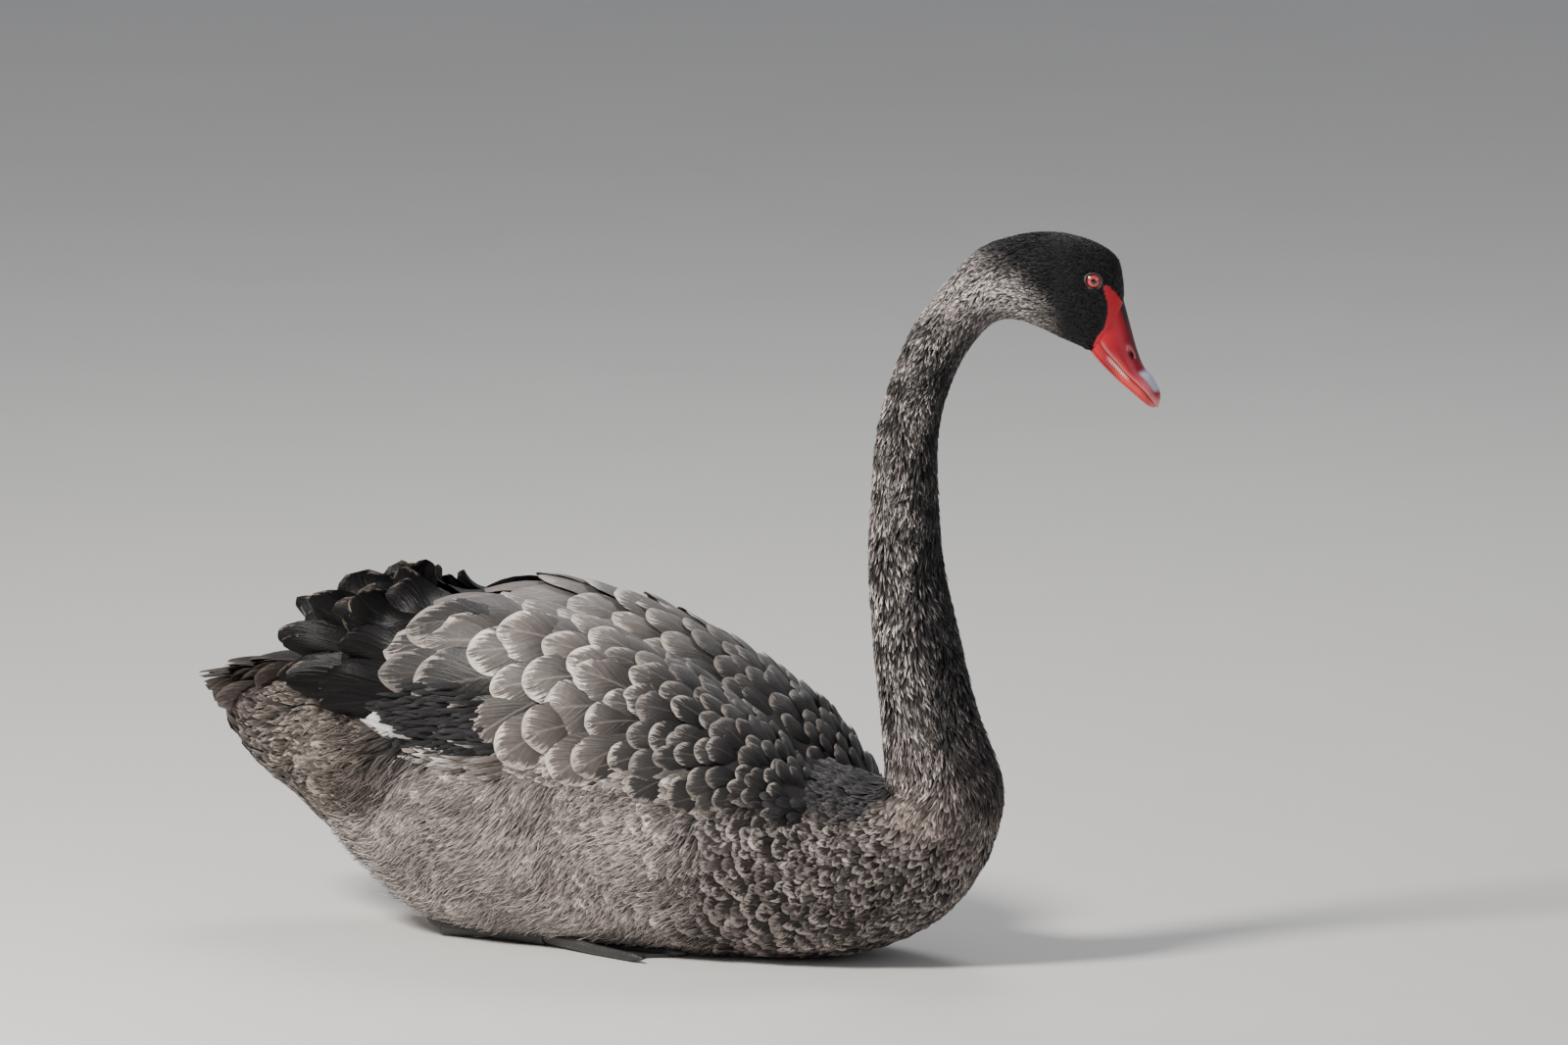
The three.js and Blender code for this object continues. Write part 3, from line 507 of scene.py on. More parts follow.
def uneven_tones(random, tones, points, darkest, strength, mottle, patch):
    """Tones of single feathers, which differ in lightness and in how pale their tips come out."""
    count = len(points)
    light = (darkest + (2 - 2 * darkest) * random.random(count))[:, None]
    pale = random.beta(*strength, count)[:, None]
    light = light * (1 + mottle * (patches(points, patch)[:, None] - 1)).clip(0.25, 2)
    base = tones[0] * light
    return base, base * (1 - pale) + tones[1] * pale * 1.2 * light


def edges(outline):
    return zip(outline, outline[1:] + outline[:1])


def in_outline(x, z, outline):
    """Whether points lie in a closed outline."""
    inside = np.zeros(np.shape(x), bool)
    for (x0, z0), (x1, z1) in edges(outline):
        crosses = (z0 > z) != (z1 > z)
        inside ^= crosses & (x < (x1 - x0) * (z - z0) / ((z1 - z0) or 1e-9) + x0)
    return inside


def near_outline(x, z, outline):
    """Distance to a closed outline."""
    best = np.full(np.shape(x), 1e9)
    for (x0, z0), (x1, z1) in edges(outline):
        dx, dz = x1 - x0, z1 - z0
        s = np.clip(((x - x0) * dx + (z - z0) * dz) / (dx * dx + dz * dz), 0, 1)
        best = np.minimum(best, np.hypot(x - x0 - s * dx, z - z0 - s * dz))
    return best


# Materials


class Finish:
    """A material, with short ways to make and join its nodes."""

    def __init__(self, name):
        self.material = bpy.data.materials.new(name)
        self.material.use_nodes = True
        self.tree = self.material.node_tree
        self.shader = self.tree.nodes["Principled BSDF"]

    def feed(self, socket, value):
        """Links a socket, or gives it a number or a colour."""
        if isinstance(value, bpy.types.NodeSocket):
            self.tree.links.new(value, socket)
        else:
            socket.default_value = (*value, 1) if isinstance(value, tuple) else value

    def node(self, kind, inputs, **settings):
        node = self.tree.nodes.new("ShaderNode" + kind)
        for key, value in settings.items():
            setattr(node, key, value)
        for key, value in inputs.items():
            self.feed(node.inputs[key], value)
        return node

    def math(self, operation, *values):
        return self.node("Math", dict(enumerate(values)), operation=operation).outputs[0]

    def times(self, a, b):
        return self.math("MULTIPLY", a, b)

    def plus(self, a, b):
        return self.math("ADD", a, b)

    def line(self, value, gain, start):
        return self.math("MULTIPLY_ADD", value, gain, start)

    def ramp(self, value, low, high):
        inputs = {"Value": value, "From Min": low, "From Max": high}
        return self.node("MapRange", inputs, interpolation_type="SMOOTHSTEP").outputs["Result"]

    def mix(self, share, a, b):
        return self.node("Mix", {0: share, 6: a, 7: b}, data_type="RGBA").outputs[2]

    def scaled(self, colour, gain):
        return self.node("VectorMath", {0: colour, "Scale": gain}, operation="SCALE").outputs[0]

    def object_place(self):
        return self.node("TexCoord", {}).outputs["Object"]

    def noise(self, scale, detail, place=None):
        place = self.object_place() if place is None else place
        return self.node("TexNoise", {"Scale": scale, "Detail": detail, "Vector": place}).outputs["Fac"]

    def vector(self, x, y):
        return self.node("CombineXYZ", {0: x, 1: y}).outputs[0]

    def uv(self, layer):
        """Both coordinates of a UV map."""
        place = self.node("UVMap", {}, uv_map=layer).outputs["UV"]
        return self.node("SeparateXYZ", {0: place}).outputs[:2]

    def colour(self, layer):
        return self.node("Attribute", {}, attribute_name=layer).outputs["Color"]

    def relief(self, height, strength, distance):
        inputs = {"Strength": strength, "Distance": distance, "Height": height}
        self.feed(self.shader.inputs["Normal"], self.node("Bump", inputs).outputs[0])

    def shade(self, colour, roughness, constants=None):
        """Gives the shader its colour and roughness, and sets other sockets to constants."""
        self.feed(self.shader.inputs["Base Color"], colour)
        self.feed(self.shader.inputs["Roughness"], roughness)
        for name, value in (constants or {}).items():
            self.shader.inputs[name].default_value = value
        return self.material


WEAR_SCALE = 260
BARB_SLANT = 1.1
DRIFT = 30  # keeps one feather's barbs apart from the next one's
SHAFT_HALF = (0.035, 0.012)  # of a vane's width, from its edge to its full strength
FEATHER_RELIEF = 0.0004


def plumage(name, barbs, edge_from, edge_share, roughness, bump, sheen, shaft, side_edge=0.35,
            edge_width=0.22, streaks=0.28, grain=0.7, fray=0.3, root_shade=0.0, specular=0.35):
    """A feather's finish: its own colours, a paler frayed edge, uneven barbs along the vane, a shaft and
    painted shade towards the root.
    """
    f = Finish(name)
    across, length = f.uv("vane")
    off = f.math("ABSOLUTE", f.math("SUBTRACT", across, 0.5))
    tip = f.colour("tip")
    wear = f.noise(WEAR_SCALE, 4)
    slant = f.line(wear, 0.05, f.line(off, -BARB_SLANT, length))
    inputs = {0: f.object_place(), 2: f.vector(f.times(slant, barbs), f.times(across, 2.5))}
    drift = f.node("VectorMath", inputs, operation="MULTIPLY_ADD")
    drift.inputs[1].default_value = (DRIFT, DRIFT, DRIFT)
    stripes = f.ramp(f.noise(1.0, 2, drift.outputs[0]), 0.3, 0.7)
    side = f.times(f.math("POWER", off, 2.0), side_edge * 4)
    reach = f.plus(f.plus(length, f.times(side, length)), f.line(wear, 0.3, -0.15))
    reach = f.plus(reach, f.line(stripes, fray, -fray / 2))
    edge = f.times(f.ramp(reach, edge_from, edge_from + edge_width), edge_share)
    mottled_and_shaded = f.times(f.line(stripes, streaks, 1 - streaks / 2), f.line(wear, grain, 1 - grain / 2))
    # Painted shade towards the root, where the feather above lies over it.
    if root_shade:
        mottled_and_shaded = f.times(mottled_and_shaded, f.line(f.ramp(length, 0.35, 0.85), root_shade, 1 - root_shade))
    colour = f.scaled(f.mix(edge, f.colour("base"), tip), mottled_and_shaded)
    colour = f.mix(f.times(f.ramp(off, *SHAFT_HALF), shaft), colour, tip)
    f.relief(f.plus(stripes, f.times(wear, 1.2)), bump, FEATHER_RELIEF)
    constants = {"Sheen Weight": sheen, "Sheen Roughness": 0.45, "Specular IOR Level": specular}
    return f.shade(colour, roughness, constants)


def painted(name, roughness, scale, variation, bump, coat=0.0, subsurface=0.0, red_roughness=None):
    """A finish that takes its colour from the mesh, with fine mottling, and smoother where it is red."""
    f = Finish(name)
    base = f.colour("base")
    grain = f.noise(scale, 5)
    rough = f.line(grain, 0.2, roughness - 0.1)
    if red_roughness is not None:
        parts = f.node("SeparateColor", {0: base}).outputs
        redness = f.ramp(f.math("SUBTRACT", parts[0], parts[1]), 0.1, 0.4)
        rough = f.plus(rough, f.times(redness, red_roughness - roughness))
    f.relief(grain, bump, 0.0003)
    constants = {"Coat Weight": coat, "Coat Roughness": 0.18}
    if subsurface:
        constants.update({"Subsurface Weight": subsurface, "Subsurface Scale": 0.002})
    return f.shade(f.scaled(base, f.line(grain, variation * 2, 1 - variation)), rough, constants)


SKIN = painted("skin", 0.8, 900, 0.4, 0.3, red_roughness=0.36)
BILL = painted("bill_horn", 0.34, 160, 0.12, 0.05, coat=0.12, subsurface=0.06)
LID = painted("lid_skin", 0.45, 900, 0.3, 0.4)
COAT = plumage(
    "short_feathers", barbs=9, edge_from=0.62, edge_share=0.95, roughness=0.55, bump=0.3, sheen=0.1,
    shaft=0.0, side_edge=0.2, edge_width=0.3, streaks=0.6, grain=0.6, fray=0.4, specular=0.22,
)
SCALE = plumage(
    "breast_feathers", barbs=12, edge_from=0.72, edge_share=0.9, roughness=0.6, bump=0.35, sheen=0.04,
    shaft=0.1, side_edge=0.4, edge_width=0.3, streaks=0.4, grain=0.5, root_shade=0.45, specular=0.14,
)
DOWN = plumage(
    "flank_feathers", barbs=16, edge_from=0.62, edge_share=0.9, roughness=0.65, bump=0.3, sheen=0.12,
    shaft=0.06, edge_width=0.5, streaks=0.7, grain=0.3, fray=0.5, root_shade=0.4, specular=0.25,
)
COVERT = plumage(
    "covert_feathers", barbs=26, edge_from=0.87, edge_share=0.9, roughness=0.5, bump=0.45, sheen=0.1,
    shaft=0.12, side_edge=0.42, streaks=0.5, grain=0.6, fray=0.26, root_shade=0.66,
)
CURLED = plumage(
    "curled_feathers", barbs=24, edge_from=1.10, edge_share=0.55, roughness=0.42, bump=0.5, sheen=0.0,
    shaft=0.03, side_edge=0.25, edge_width=0.08, streaks=1.0, fray=0.1, specular=0.13,
)
TAIL = plumage(
    "tail_feathers", barbs=24, edge_from=0.9, edge_share=0.7, roughness=0.6, bump=0.5, sheen=0.0,
    shaft=0.08, side_edge=0.4, edge_width=0.25, streaks=0.5, fray=0.25, root_shade=0.5, specular=0.12,
)
WHITE = plumage(
    "white_feathers", barbs=30, edge_from=1.2, edge_share=0.0, roughness=0.55, bump=0.3, sheen=0.1,
    shaft=0.05,
)


def dress(piece, slot, material, *nodes):
    piece.data.materials.append(material)
    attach(piece, "root")
    if nodes:
        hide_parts(*nodes)


# Skin

COAT_DEPTH = {"torso": 4.0, "neck": 2.6, "head": 1.3, "bill_base": 0.2}
SOCKET = {"reach": 5.2, "depth": 3.2}


def coat_depth(t):
    station = station_of(t)
    depth = lerp(COAT_DEPTH["torso"], COAT_DEPTH["neck"], smooth(13, 17, station))
    depth = depth + (COAT_DEPTH["head"] - COAT_DEPTH["neck"]) * smooth(23.5, 27, station)
    depth = depth + (COAT_DEPTH["bill_base"] - COAT_DEPTH["head"]) * smooth(29.5, 31, station)
    return depth * (0.35 + 0.65 * smooth(0, 1.5, station))


def skin():
    rows, cols = ((520, 128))
    t = np.linspace(0, 1, rows)[:, None]
    angle = circle(cols)[None, :]
    flat = BODY.flat(t, angle, -coat_depth(t))
    base, _ = coat_colours(*np.broadcast_arrays(t, angle))
    near = np.hypot(flat[..., 0] - EYE["x"], flat[..., 2] - EYE["z"]) / SOCKET["reach"]
    is_head = station_of(t) > JAW_STATION
    flat[..., 1] -= np.sign(flat[..., 1]) * SOCKET["depth"] * np.exp(-(near**4)) * is_head
    x, y, z = np.moveaxis(flat, -1, 0)
    red = np.where(in_outline(x, z, LORE) & is_head, smooth(-0.2, 0.5, near_outline(x, z, LORE)), 0)
    red = red * smooth(2.5, 4.5, np.abs(y) + 40 * (z < LORE_BASE_Z))
    base = blend(base * 0.8, LORE_RED, red)
    bake = uv_grid(angle / ROUND, t)
    piece = tube_mesh("skin", turned_past_torso(t, flat), {"OFBake": bake}, {"base": base}, 80)
    dress(piece, "black_plumage", SKIN, "torso", "neck_lower", "neck_middle", "neck_upper", "head", "tail")


# Coat

RANDOM = np.random.default_rng(7)
SCATTER = {"rows": 600, "round": 24, "arc": 72, "uneven": 0.16, "fewest": 6, "keep": 1.35, "keep_least": 0.05}
WING_MARGIN = 7  # how deep under a wing the coat stops


def arc_lengths(points):
    """Distance from the first point along a row of them."""
    return np.concatenate([[0], np.cumsum(np.linalg.norm(np.diff(points, axis=0), axis=-1))])


def scatter(station_from, station_to, pitch_along, pitch_round):
    """Places for feathers in offset rows, as t and angle, thinned where rows crowd."""
    fine = np.linspace(station_from / LAST_STATION, station_to / LAST_STATION, SCATTER["rows"])
    ring = circle(SCATTER["round"])
    gaps = np.linalg.norm(np.diff(BODY.at(fine[:, None], ring[None]), axis=0), axis=-1)
    widest = gaps.max(1)
    travel = np.concatenate([[0], np.cumsum(widest)])
    arc_angles = np.linspace(0, ROUND, SCATTER["arc"])
    places = []
    for number, t in enumerate(np.interp(np.arange(0, travel[-1], pitch_along), travel, fine)):
        arcs = arc_lengths(BODY.at(t, arc_angles))
        count = max(int(arcs[-1] / pitch_round), SCATTER["fewest"])
        share = (np.arange(count) + 0.5 * (number % 2)) / count
        share = (share + RANDOM.normal(0, SCATTER["uneven"], count) / count) % 1
        angle = np.interp(share * arcs[-1], arcs, arc_angles)
        wander = RANDOM.normal(0, SCATTER["uneven"], count) * pitch_along
        here = t + wander * (fine[-1] - fine[0]) / travel[-1]
        k = min(np.searchsorted(fine, t), len(gaps) - 1)
        local = np.interp(angle, np.append(ring, ROUND), np.append(gaps[k], gaps[k][0])) / widest[k]
        keep = RANDOM.random(count) < np.clip(local * SCATTER["keep"], SCATTER["keep_least"], 1)
        places.append(np.stack([here, angle])[:, keep])
    t, angle = np.concatenate(places, 1)
    return np.clip(t, 0, 1), angle


def on_white(points):
    """Whether points lie where the folded white flight feathers show."""
    x = points[..., 0] - WHITE_PATCH["x"]
    z = points[..., 2] - WHITE_PATCH["z"] - WHITE_PATCH["slope"] * x
    return (x / WHITE_PATCH["long"]) ** 4 + (z / WHITE_PATCH["high"]) ** 4 < 1


def visible(t, angle):
    """Leaves out feathers whose roots are under a wing, on the lores, in an eye or on the white."""
    points = BODY.at(t, angle)
    hidden = WINGS["left"].holds(points, WING_MARGIN) | WINGS["right"].holds(points, WING_MARGIN)
    flat = BODY.flat(t, angle)
    eye = np.hypot(flat[..., 0] - EYE["x"], flat[..., 2] - EYE["z"]) < EYE["bare"]
    bare = in_outline(flat[..., 0], flat[..., 2], LORE)
    return ~hidden & ~((station_of(t) > JAW_STATION) & (eye | bare)) & ~on_white(flat)


def vary(random, spread, count, low, high):
    """Factors about one, within limits."""
    return random.normal(1, spread, count).clip(low, high)


def coat(name, stations, pitch, length, width, lift, steps, form, strength, mottle, material=COAT, spread=0.2,
         sag=0.0, darkest=0.6, patch=9, tilt=0.22, between=(0, ROUND)):
    """Short feathers over a stretch of the body. Pitch to lift are given at both ends of the stretch.

    Spread and sag are how unevenly and how far they lean down, and strength how pale their tips come out.
    """
    mean = np.mean(pitch) * COARSER
    t, angle = scatter(*stations, mean, mean * 0.9)
    shown = visible(t, angle) & (angle >= between[0]) & (angle < between[1])
    t, angle = t[shown], angle[shown]
    share = np.clip((station_of(t) - stations[0]) / (stations[1] - stations[0]), 0, 1)
    count = len(t)
    long = lerp(*length, share) * vary(RANDOM, 0.16, count, 0.6, 1.5) * COARSER**0.6
    wide = lerp(*width, share) * vary(RANDOM, 0.16, count, 0.6, 1.5) * COARSER**0.8
    depth = coat_depth(t)
    wander = 0.25 * np.sin(t * 90 + 2.5 * np.sin(angle * 3))
    lean = RANDOM.normal(0, spread, count) + sag * np.sin(angle) + wander
    height = lerp(*lift, share) * vary(RANDOM, 0.3, count, 0.2, 2) + depth * 0.55
    lines, outs = lay(BODY, t, angle, long, lean, steps, -0.4, height, -depth)
    roll, camber = RANDOM.normal(0, tilt, count), 0.4 * min(tilt, 0.5) + 0.1
    rings = vane_rings(lines, outs, steps, wide, (0.45, *form), 3, roll, camber, 0.5)
    tones, points = coat_colours(t, angle), BODY.flat(t, angle)
    tones = uneven_tones(RANDOM, tones, points, darkest, strength, mottle, patch)
    dress(vanes(name, rings, steps, uv_grid(angle / ROUND, t), *tones), "black_plumage", material)


POINTED = (0.5, 0.1)
FINE_REACH = 2.75  # how far down each side fine strands grow, as an angle from the top


def coats():
    coat("coat_face", (27.0, 31), (1.75, 1.6), (5.2, 3.4), (1.9, 1.5), (0.15, 0.05),
         FACE_STEPS, (0.6, 0.35), (1, 2.5), 0.1, spread=0.12)
    coat("coat_nape", (23.0, 27.6), (2.0, 1.65), (8.0, 5.6), (1.7, 1.4), (0.5, 0.25),
         STRAND_STEPS, POINTED, (1.3, 0.8), 0.2)
    coat("coat_neck_upper", (18.6, 24.0), (2.1, 1.9), (12.0, 8.5), (1.8, 1.6), (1.1, 0.6),
         STRAND_STEPS, POINTED, (0.45, 0.8), 0.9)
    coat("coat_neck_lower", (14.2, 19.0), (2.5, 2.2), (14.0, 12.0), (2.2, 1.8), (1.5, 1.1),
         STRAND_STEPS, POINTED, (0.45, 0.8), 0.9)
    coat("coat_breast", (10.8, 14.8), (4.0, 3.2), (15.0, 13.0), (7.0, 3.8), (1.3, 1.1),
         FIVE_STEPS, (0.62, 0.25), (1.4, 1.4), 0.3, SCALE, 0.16, 0.1)
    halves = {
        "left": ((0, math.pi), (0, FINE_REACH)), "right": ((math.pi, ROUND), (ROUND - FINE_REACH, ROUND)),
    }
    for side, (half, fine) in halves.items():
        coat(f"coat_scales_{side}", (7.8, 11.2), (8.4, 6.2), (26.0, 19.0), (16.0, 11.5), (1.8, 1.3),
             FIVE_STEPS, (0.68, 0.35), (2.4, 1.6), 0.15, SCALE, 0.1, 0.35, 0.75, tilt=0.14, between=half)
        coat(f"coat_flank_{side}", (4.2, 9.0), (7.4, 7.4), (40.0, 31.0), (18.0, 16.0), (1.6, 1.4),
             FIVE_STEPS, (0.66, 0.3), (2.6, 1.4), 0.2, DOWN, 0.1, 0.7, 0.88, 24, 0.05, between=half)
        coat(f"coat_strands_{side}", (4.2, 9.4), (3.0, 3.1), (34.0, 26.0), (1.0, 0.9), (3.6, 3.0),
             STRAND_STEPS, POINTED, (2.2, 1.0), 0.25, DOWN, 0.12, 0.7, 0.78, 24, between=fine)
        coat(f"coat_filaments_{side}", (4.2, 8.6), (3.8, 3.8), (24.0, 18.0), (0.7, 0.7), (4.8, 4.0),
             STRAND_STEPS, POINTED, (2.6, 0.9), 0.25, DOWN, 0.24, 0.75, 0.75, 24, between=fine)
    coat("coat_rump", (2.0, 4.7), (3.3, 3.7), (16.0, 22.0), (2.6, 3.2), (1.5, 2.0),
         RUMP_STEPS, (0.55, 0.12), (0.8, 0.9), 0.7, DOWN, 0.28, 0.3, patch=12)
    coat("coat_undertail", (0.05, 2.6), (8.5, 7.5), (34.0, 28.0), (20.0, 15.0), (1.4, 1.4),
         FIVE_STEPS, (0.66, 0.4), (1.0, 1.4), 0.2, TAIL, 0.15, 0.1)


# Wings

COVERT_BASE = (0.125, 0.105, 0.095)
COVERT_DARK = (0.020, 0.0178, 0.0180)
COVERT_GREY = (0.17, 0.155, 0.152)
COVERT_EDGE = (0.76, 0.66, 0.59)
CURL_BLACK = (0.0030, 0.0027, 0.0030)
CURL_EDGE = (0.13, 0.105, 0.09)
# Rows of coverts, from the tail forward: x, length, width, from and to degrees round the wing, how far
# the feathers lean down at the first and the last of these, and their lift
COVERT_ROWS = [
    [-60, 82, 37, 28, 66, 0.22, 0.02, 7.0],
    [-46, 76, 37, 26, 118, 0.34, -0.15, 7.0],
    [-32, 76, 37, 25, 118, 0.42, -0.15, 6.8],
    [-17, 69, 36, 21, 120, 0.48, -0.12, 6.5],
    [-2, 63, 35, 18, 120, 0.52, -0.10, 6.2],
    [12, 58, 34, 15, 120, 0.55, -0.10, 6.0],
    [26, 53, 32, 12, 120, 0.56, -0.08, 5.6],
    [39, 49, 30, 9, 120, 0.56, -0.08, 5.3],
    [51, 45, 28, 8, 120, 0.54, -0.08, 5.0],
    [63, 41, 26, 7, 120, 0.52, -0.08, 4.8],
    [74, 38, 24, 6, 120, 0.50, -0.05, 4.6],
    [84, 35, 22, 5, 120, 0.48, -0.05, 4.4],
    [94, 32, 20, 4, 120, 0.46, 0.0, 4.2],
    [103, 29, 18, 3, 120, 0.44, 0.0, 4.0],
    [112, 27, 17, 2, 120, 0.42, 0.0, 3.8],
    [120, 25, 16, 0, 120, 0.40, 0.0, 3.6],
    [128, 23, 15, -4, 125, 0.38, 0.0, 3.3],
    [136, 21, 14, -10, 130, 0.34, 0.0, 3.0],
    [143, 20, 13, -20, 140, 0.30, 0.0, 2.6],
    [149, 19, 12, -30, 150, 0.26, 0.0, 2.3],
]
COVERT_STEPS = np.array([0, 0.2, 0.4, 0.55, 0.67, 0.77, 0.85, 0.91, 0.95, 0.98, 1])
COVERT_COLS = 9
COVERT_FORM = (0.45, 0.62, 0.12)
COVERT_PITCH = 0.66  # as a share of their width
COVERT_UNEVEN = 3.2  # of their places along the wing
COVERT_BOW = 5  # how far the middle of a row lies behind its ends
COVERT_SEEDS = {"left": 31, "right": 32}

# Rows of the black inner feathers: x on the left and on the right wing, from and to degrees round the
# wing, count, length, width, lean at the first and the last, lift, and how far the end turns up and
# rolls outward, in degrees
CURL_ROWS = [
    [-108, -108, 9, 34, 6, 102, 28, 0.10, 0.20, 5, 6, 8],
    [-108, -108, 30, 60, 7, 128, 27, 0.14, -0.12, 7, 26, 40],
    [-108, -108, 48, 94, 6, 106, 46, -0.10, -0.14, 7, 60, 60],
    [-98, -98, 34, 90, 6, 84, 40, 0.02, -0.10, 6, 32, 50],
    [-108, -94, 66, 94, 2, 84, 32, 0.0, -0.05, 7, 88, 58],
]
CURL_STEPS = np.concatenate([np.linspace(0, 0.5, 7), np.linspace(0.56, 1, 14)])
CURL_COLS = 11
CURL_FORM = (0.4, 0.68, 0.3)
CURL_STRETCH = (0.5, 1.1)  # of its length over which a feather turns up
# Waves along a vane's two sides: height, how close they follow each other, and how far the sides differ
CURL_WAVES = [(1.8, 11, 1), (0.3, 27, 2)]
CURL_SEEDS = {"left": 41, "right": 43}
WAVE_PHASES = 6.3


def large_vanes(name, rings, steps, columns, base, tip):
    """Vanes that each have a cell of their own on the bake's map."""
    k = np.arange(len(rings))
    cell = np.array([1 / columns, 1 / math.ceil(len(rings) / columns)])
    places = (np.stack([k % columns, k // columns], -1) + 0.5) * cell
    return vanes(name, rings, steps, places, base, tip, cell * 0.94)


def wing_arc(surface, x, low, high, pitch):
    """Angles for feathers a pitch apart round the wing."""
    fine = np.radians(np.linspace(low, high, 60))
    arcs = arc_lengths(surface.at(np.full(60, float(x)), fine))
    count = max(int(round(arcs[-1] / pitch)), 3)
    return np.interp(np.linspace(0, arcs[-1], count), arcs, fine)


def keep_to_side(rings, hand):
    rings[..., 1] = hand * np.maximum(hand * rings[..., 1], MIDDLE_GAP)


def coverts(side):
    surface, random = WINGS[side], np.random.default_rng(COVERT_SEEDS[side])
    rows = []
    for number, (row_x, length, width, low, high, lean_low, lean_high, row_lift) in enumerate(COVERT_ROWS):
        angles = wing_arc(surface, row_x, low, high, width * COVERT_PITCH)
        count = len(angles)
        step = (angles[-1] - angles[0]) / (count - 1)
        angles = angles + step * (0.5 * (number % 2) - 0.25) + random.normal(0, 0.1, count) * step
        share = np.linspace(0, 1, count)
        rows.append([
            row_x + random.normal(0, COVERT_UNEVEN, count) - COVERT_BOW * np.sin(math.pi * share),
            angles,
            length * random.normal(1, 0.09, count),
            width * random.normal(1, 0.11, count),
            random.normal(0, 0.1, count) - lerp(lean_low, lean_high, share),
            row_lift * random.normal(1, 0.12, count),
        ])
    x, angle, long, wide, lean, lift = np.concatenate(rows, 1)
    count = len(x)
    lines, outs = lay(surface, x, angle, long, lean, COVERT_STEPS, -WING_CORE["inset"], lift)
    phase = random.random((count, 1, 1)) * WAVE_PHASES
    waves = 0.5 * np.sin(COVERT_STEPS[None, :, None] * 16 + phase)
    waves = waves * smooth(0.3, 1, COVERT_STEPS)[None, :, None]
    roll = surface.hand * (0.11 + random.normal(0, 0.03, count))
    fray = frayed(random, count, COVERT_STEPS, COVERT_COLS, 0.02)
    rings = vane_rings(
        lines, outs, COVERT_STEPS, wide, COVERT_FORM, COVERT_COLS, roll, 0.2, 0.8, waves, fray,
    )
    keep_to_side(rings, surface.hand)
    top = smooth(math.radians(62), math.radians(92), angle)
    front = smooth(28, 96, x + 26 * top - 0.2 * np.degrees(angle) + 6)
    back_ridge = top * (1 - smooth(-10, 25, x))
    rear = 1 - smooth(-52, -14, x)
    shade = random.random(count) ** 1.5
    dark = np.clip(0.9 * front + 0.35 * shade + 0.85 * rear * (1 - 0.8 * top), 0, 0.95)
    base = blend(blend(COVERT_BASE, COVERT_DARK, dark), COVERT_GREY, 0.7 * back_ridge)
    base *= 0.65 + 0.7 * random.random((count, 1))
    fade = np.clip(0.3 * top + 0.62 * front + 0.6 * rear + 0.4 * random.random(count) ** 2, 0, 0.92)
    edge = blend(COVERT_EDGE, COVERT_BASE, fade)
    dress(large_vanes(f"coverts_{side}", rings, COVERT_STEPS, 16, base, edge), "wing_feathers", COVERT)


def curls(side):
    surface, random = WINGS[side], np.random.default_rng(CURL_SEEDS[side])
    rows = []
    for row in CURL_ROWS:
        left_x, right_x, low, high, count, length, width = row[:7]
        lean_low, lean_high, row_lift, up, outward = row[7:]
        share = np.linspace(0, 1, count)
        rows.append([
            (left_x if side == "left" else right_x) + random.normal(0, 5, count),
            np.radians(lerp(low, high, share) + random.normal(0, 2, count)),
            length * random.normal(1, 0.09, count),
            width * random.normal(1, 0.14, count),
            random.normal(0, 0.07, count) - lerp(lean_low, lean_high, share),
            row_lift * random.normal(1, 0.15, count),
            np.radians(up) * random.normal(1, 0.3, count),
            np.radians(outward) * random.normal(1, 0.25, count),
        ])
    x, angle, long, wide, lean, lift, bend, twist = np.concatenate(rows, 1)
    count = len(x)
    lines, outs = lay(surface, x, angle, long, lean, CURL_STEPS, -WING_CORE["inset"], lift)
    lines, outs = curl(lines, outs, CURL_STEPS, long, bend, *CURL_STRETCH)
    phases = random.random((count, 1, 2)) * WAVE_PHASES
    sides = np.where(np.linspace(-1, 1, CURL_COLS)[None, None] < 0, phases[..., :1], phases[..., 1:])
    roll = 0.15 + random.normal(0, 0.08, (count, 1)) + twist[:, None] * smooth(0.45, 1.0, CURL_STEPS)
    along_vane = CURL_STEPS[None, :, None]
    ruffle = sum(height * np.sin(along_vane * rate + apart * sides) for height, rate, apart in CURL_WAVES)
    ruffle = ruffle * smooth(0.35, 0.9, along_vane)
    fray = frayed(random, count, CURL_STEPS, CURL_COLS, 0.015)
    rings = vane_rings(
        lines, outs, CURL_STEPS, wide, CURL_FORM, CURL_COLS, surface.hand * roll, 0.4, 0.9, ruffle, fray,
    )
    keep_to_side(rings, surface.hand)
    base = np.asarray(CURL_BLACK) * (0.8 + 1.1 * random.random((count, 1)))
    tip = np.asarray(CURL_EDGE) * (0.4 + 1.4 * random.random((count, 1)))
    dress(large_vanes(f"curls_{side}", rings, CURL_STEPS, 5, base, tip), "wing_feathers", CURLED)


# Flank feathers over the lower edge of the wing: x, highest degrees round the wing
COVER_EDGE = np.array([
    [-124, 2], [-112, 8], [-95, 13], [-70, 14], [-50, 11], [-36, 4], [0, 2], [50, 3], [90, 6], [120, 10],
    [146, 24], [156, 60],
], float)
# Sizes in the middle of the flank, with what the thigh and the front add to them
COVER_SIZES = {"length": (24, 10, -4), "width": (6.0, -2.6, 3.0), "lift": (2.4, 7.2, 0)}
COVER_LOWEST = -70
COVER_PITCH = 3.5
COVER_SEEDS = {"left": 71, "right": 72}


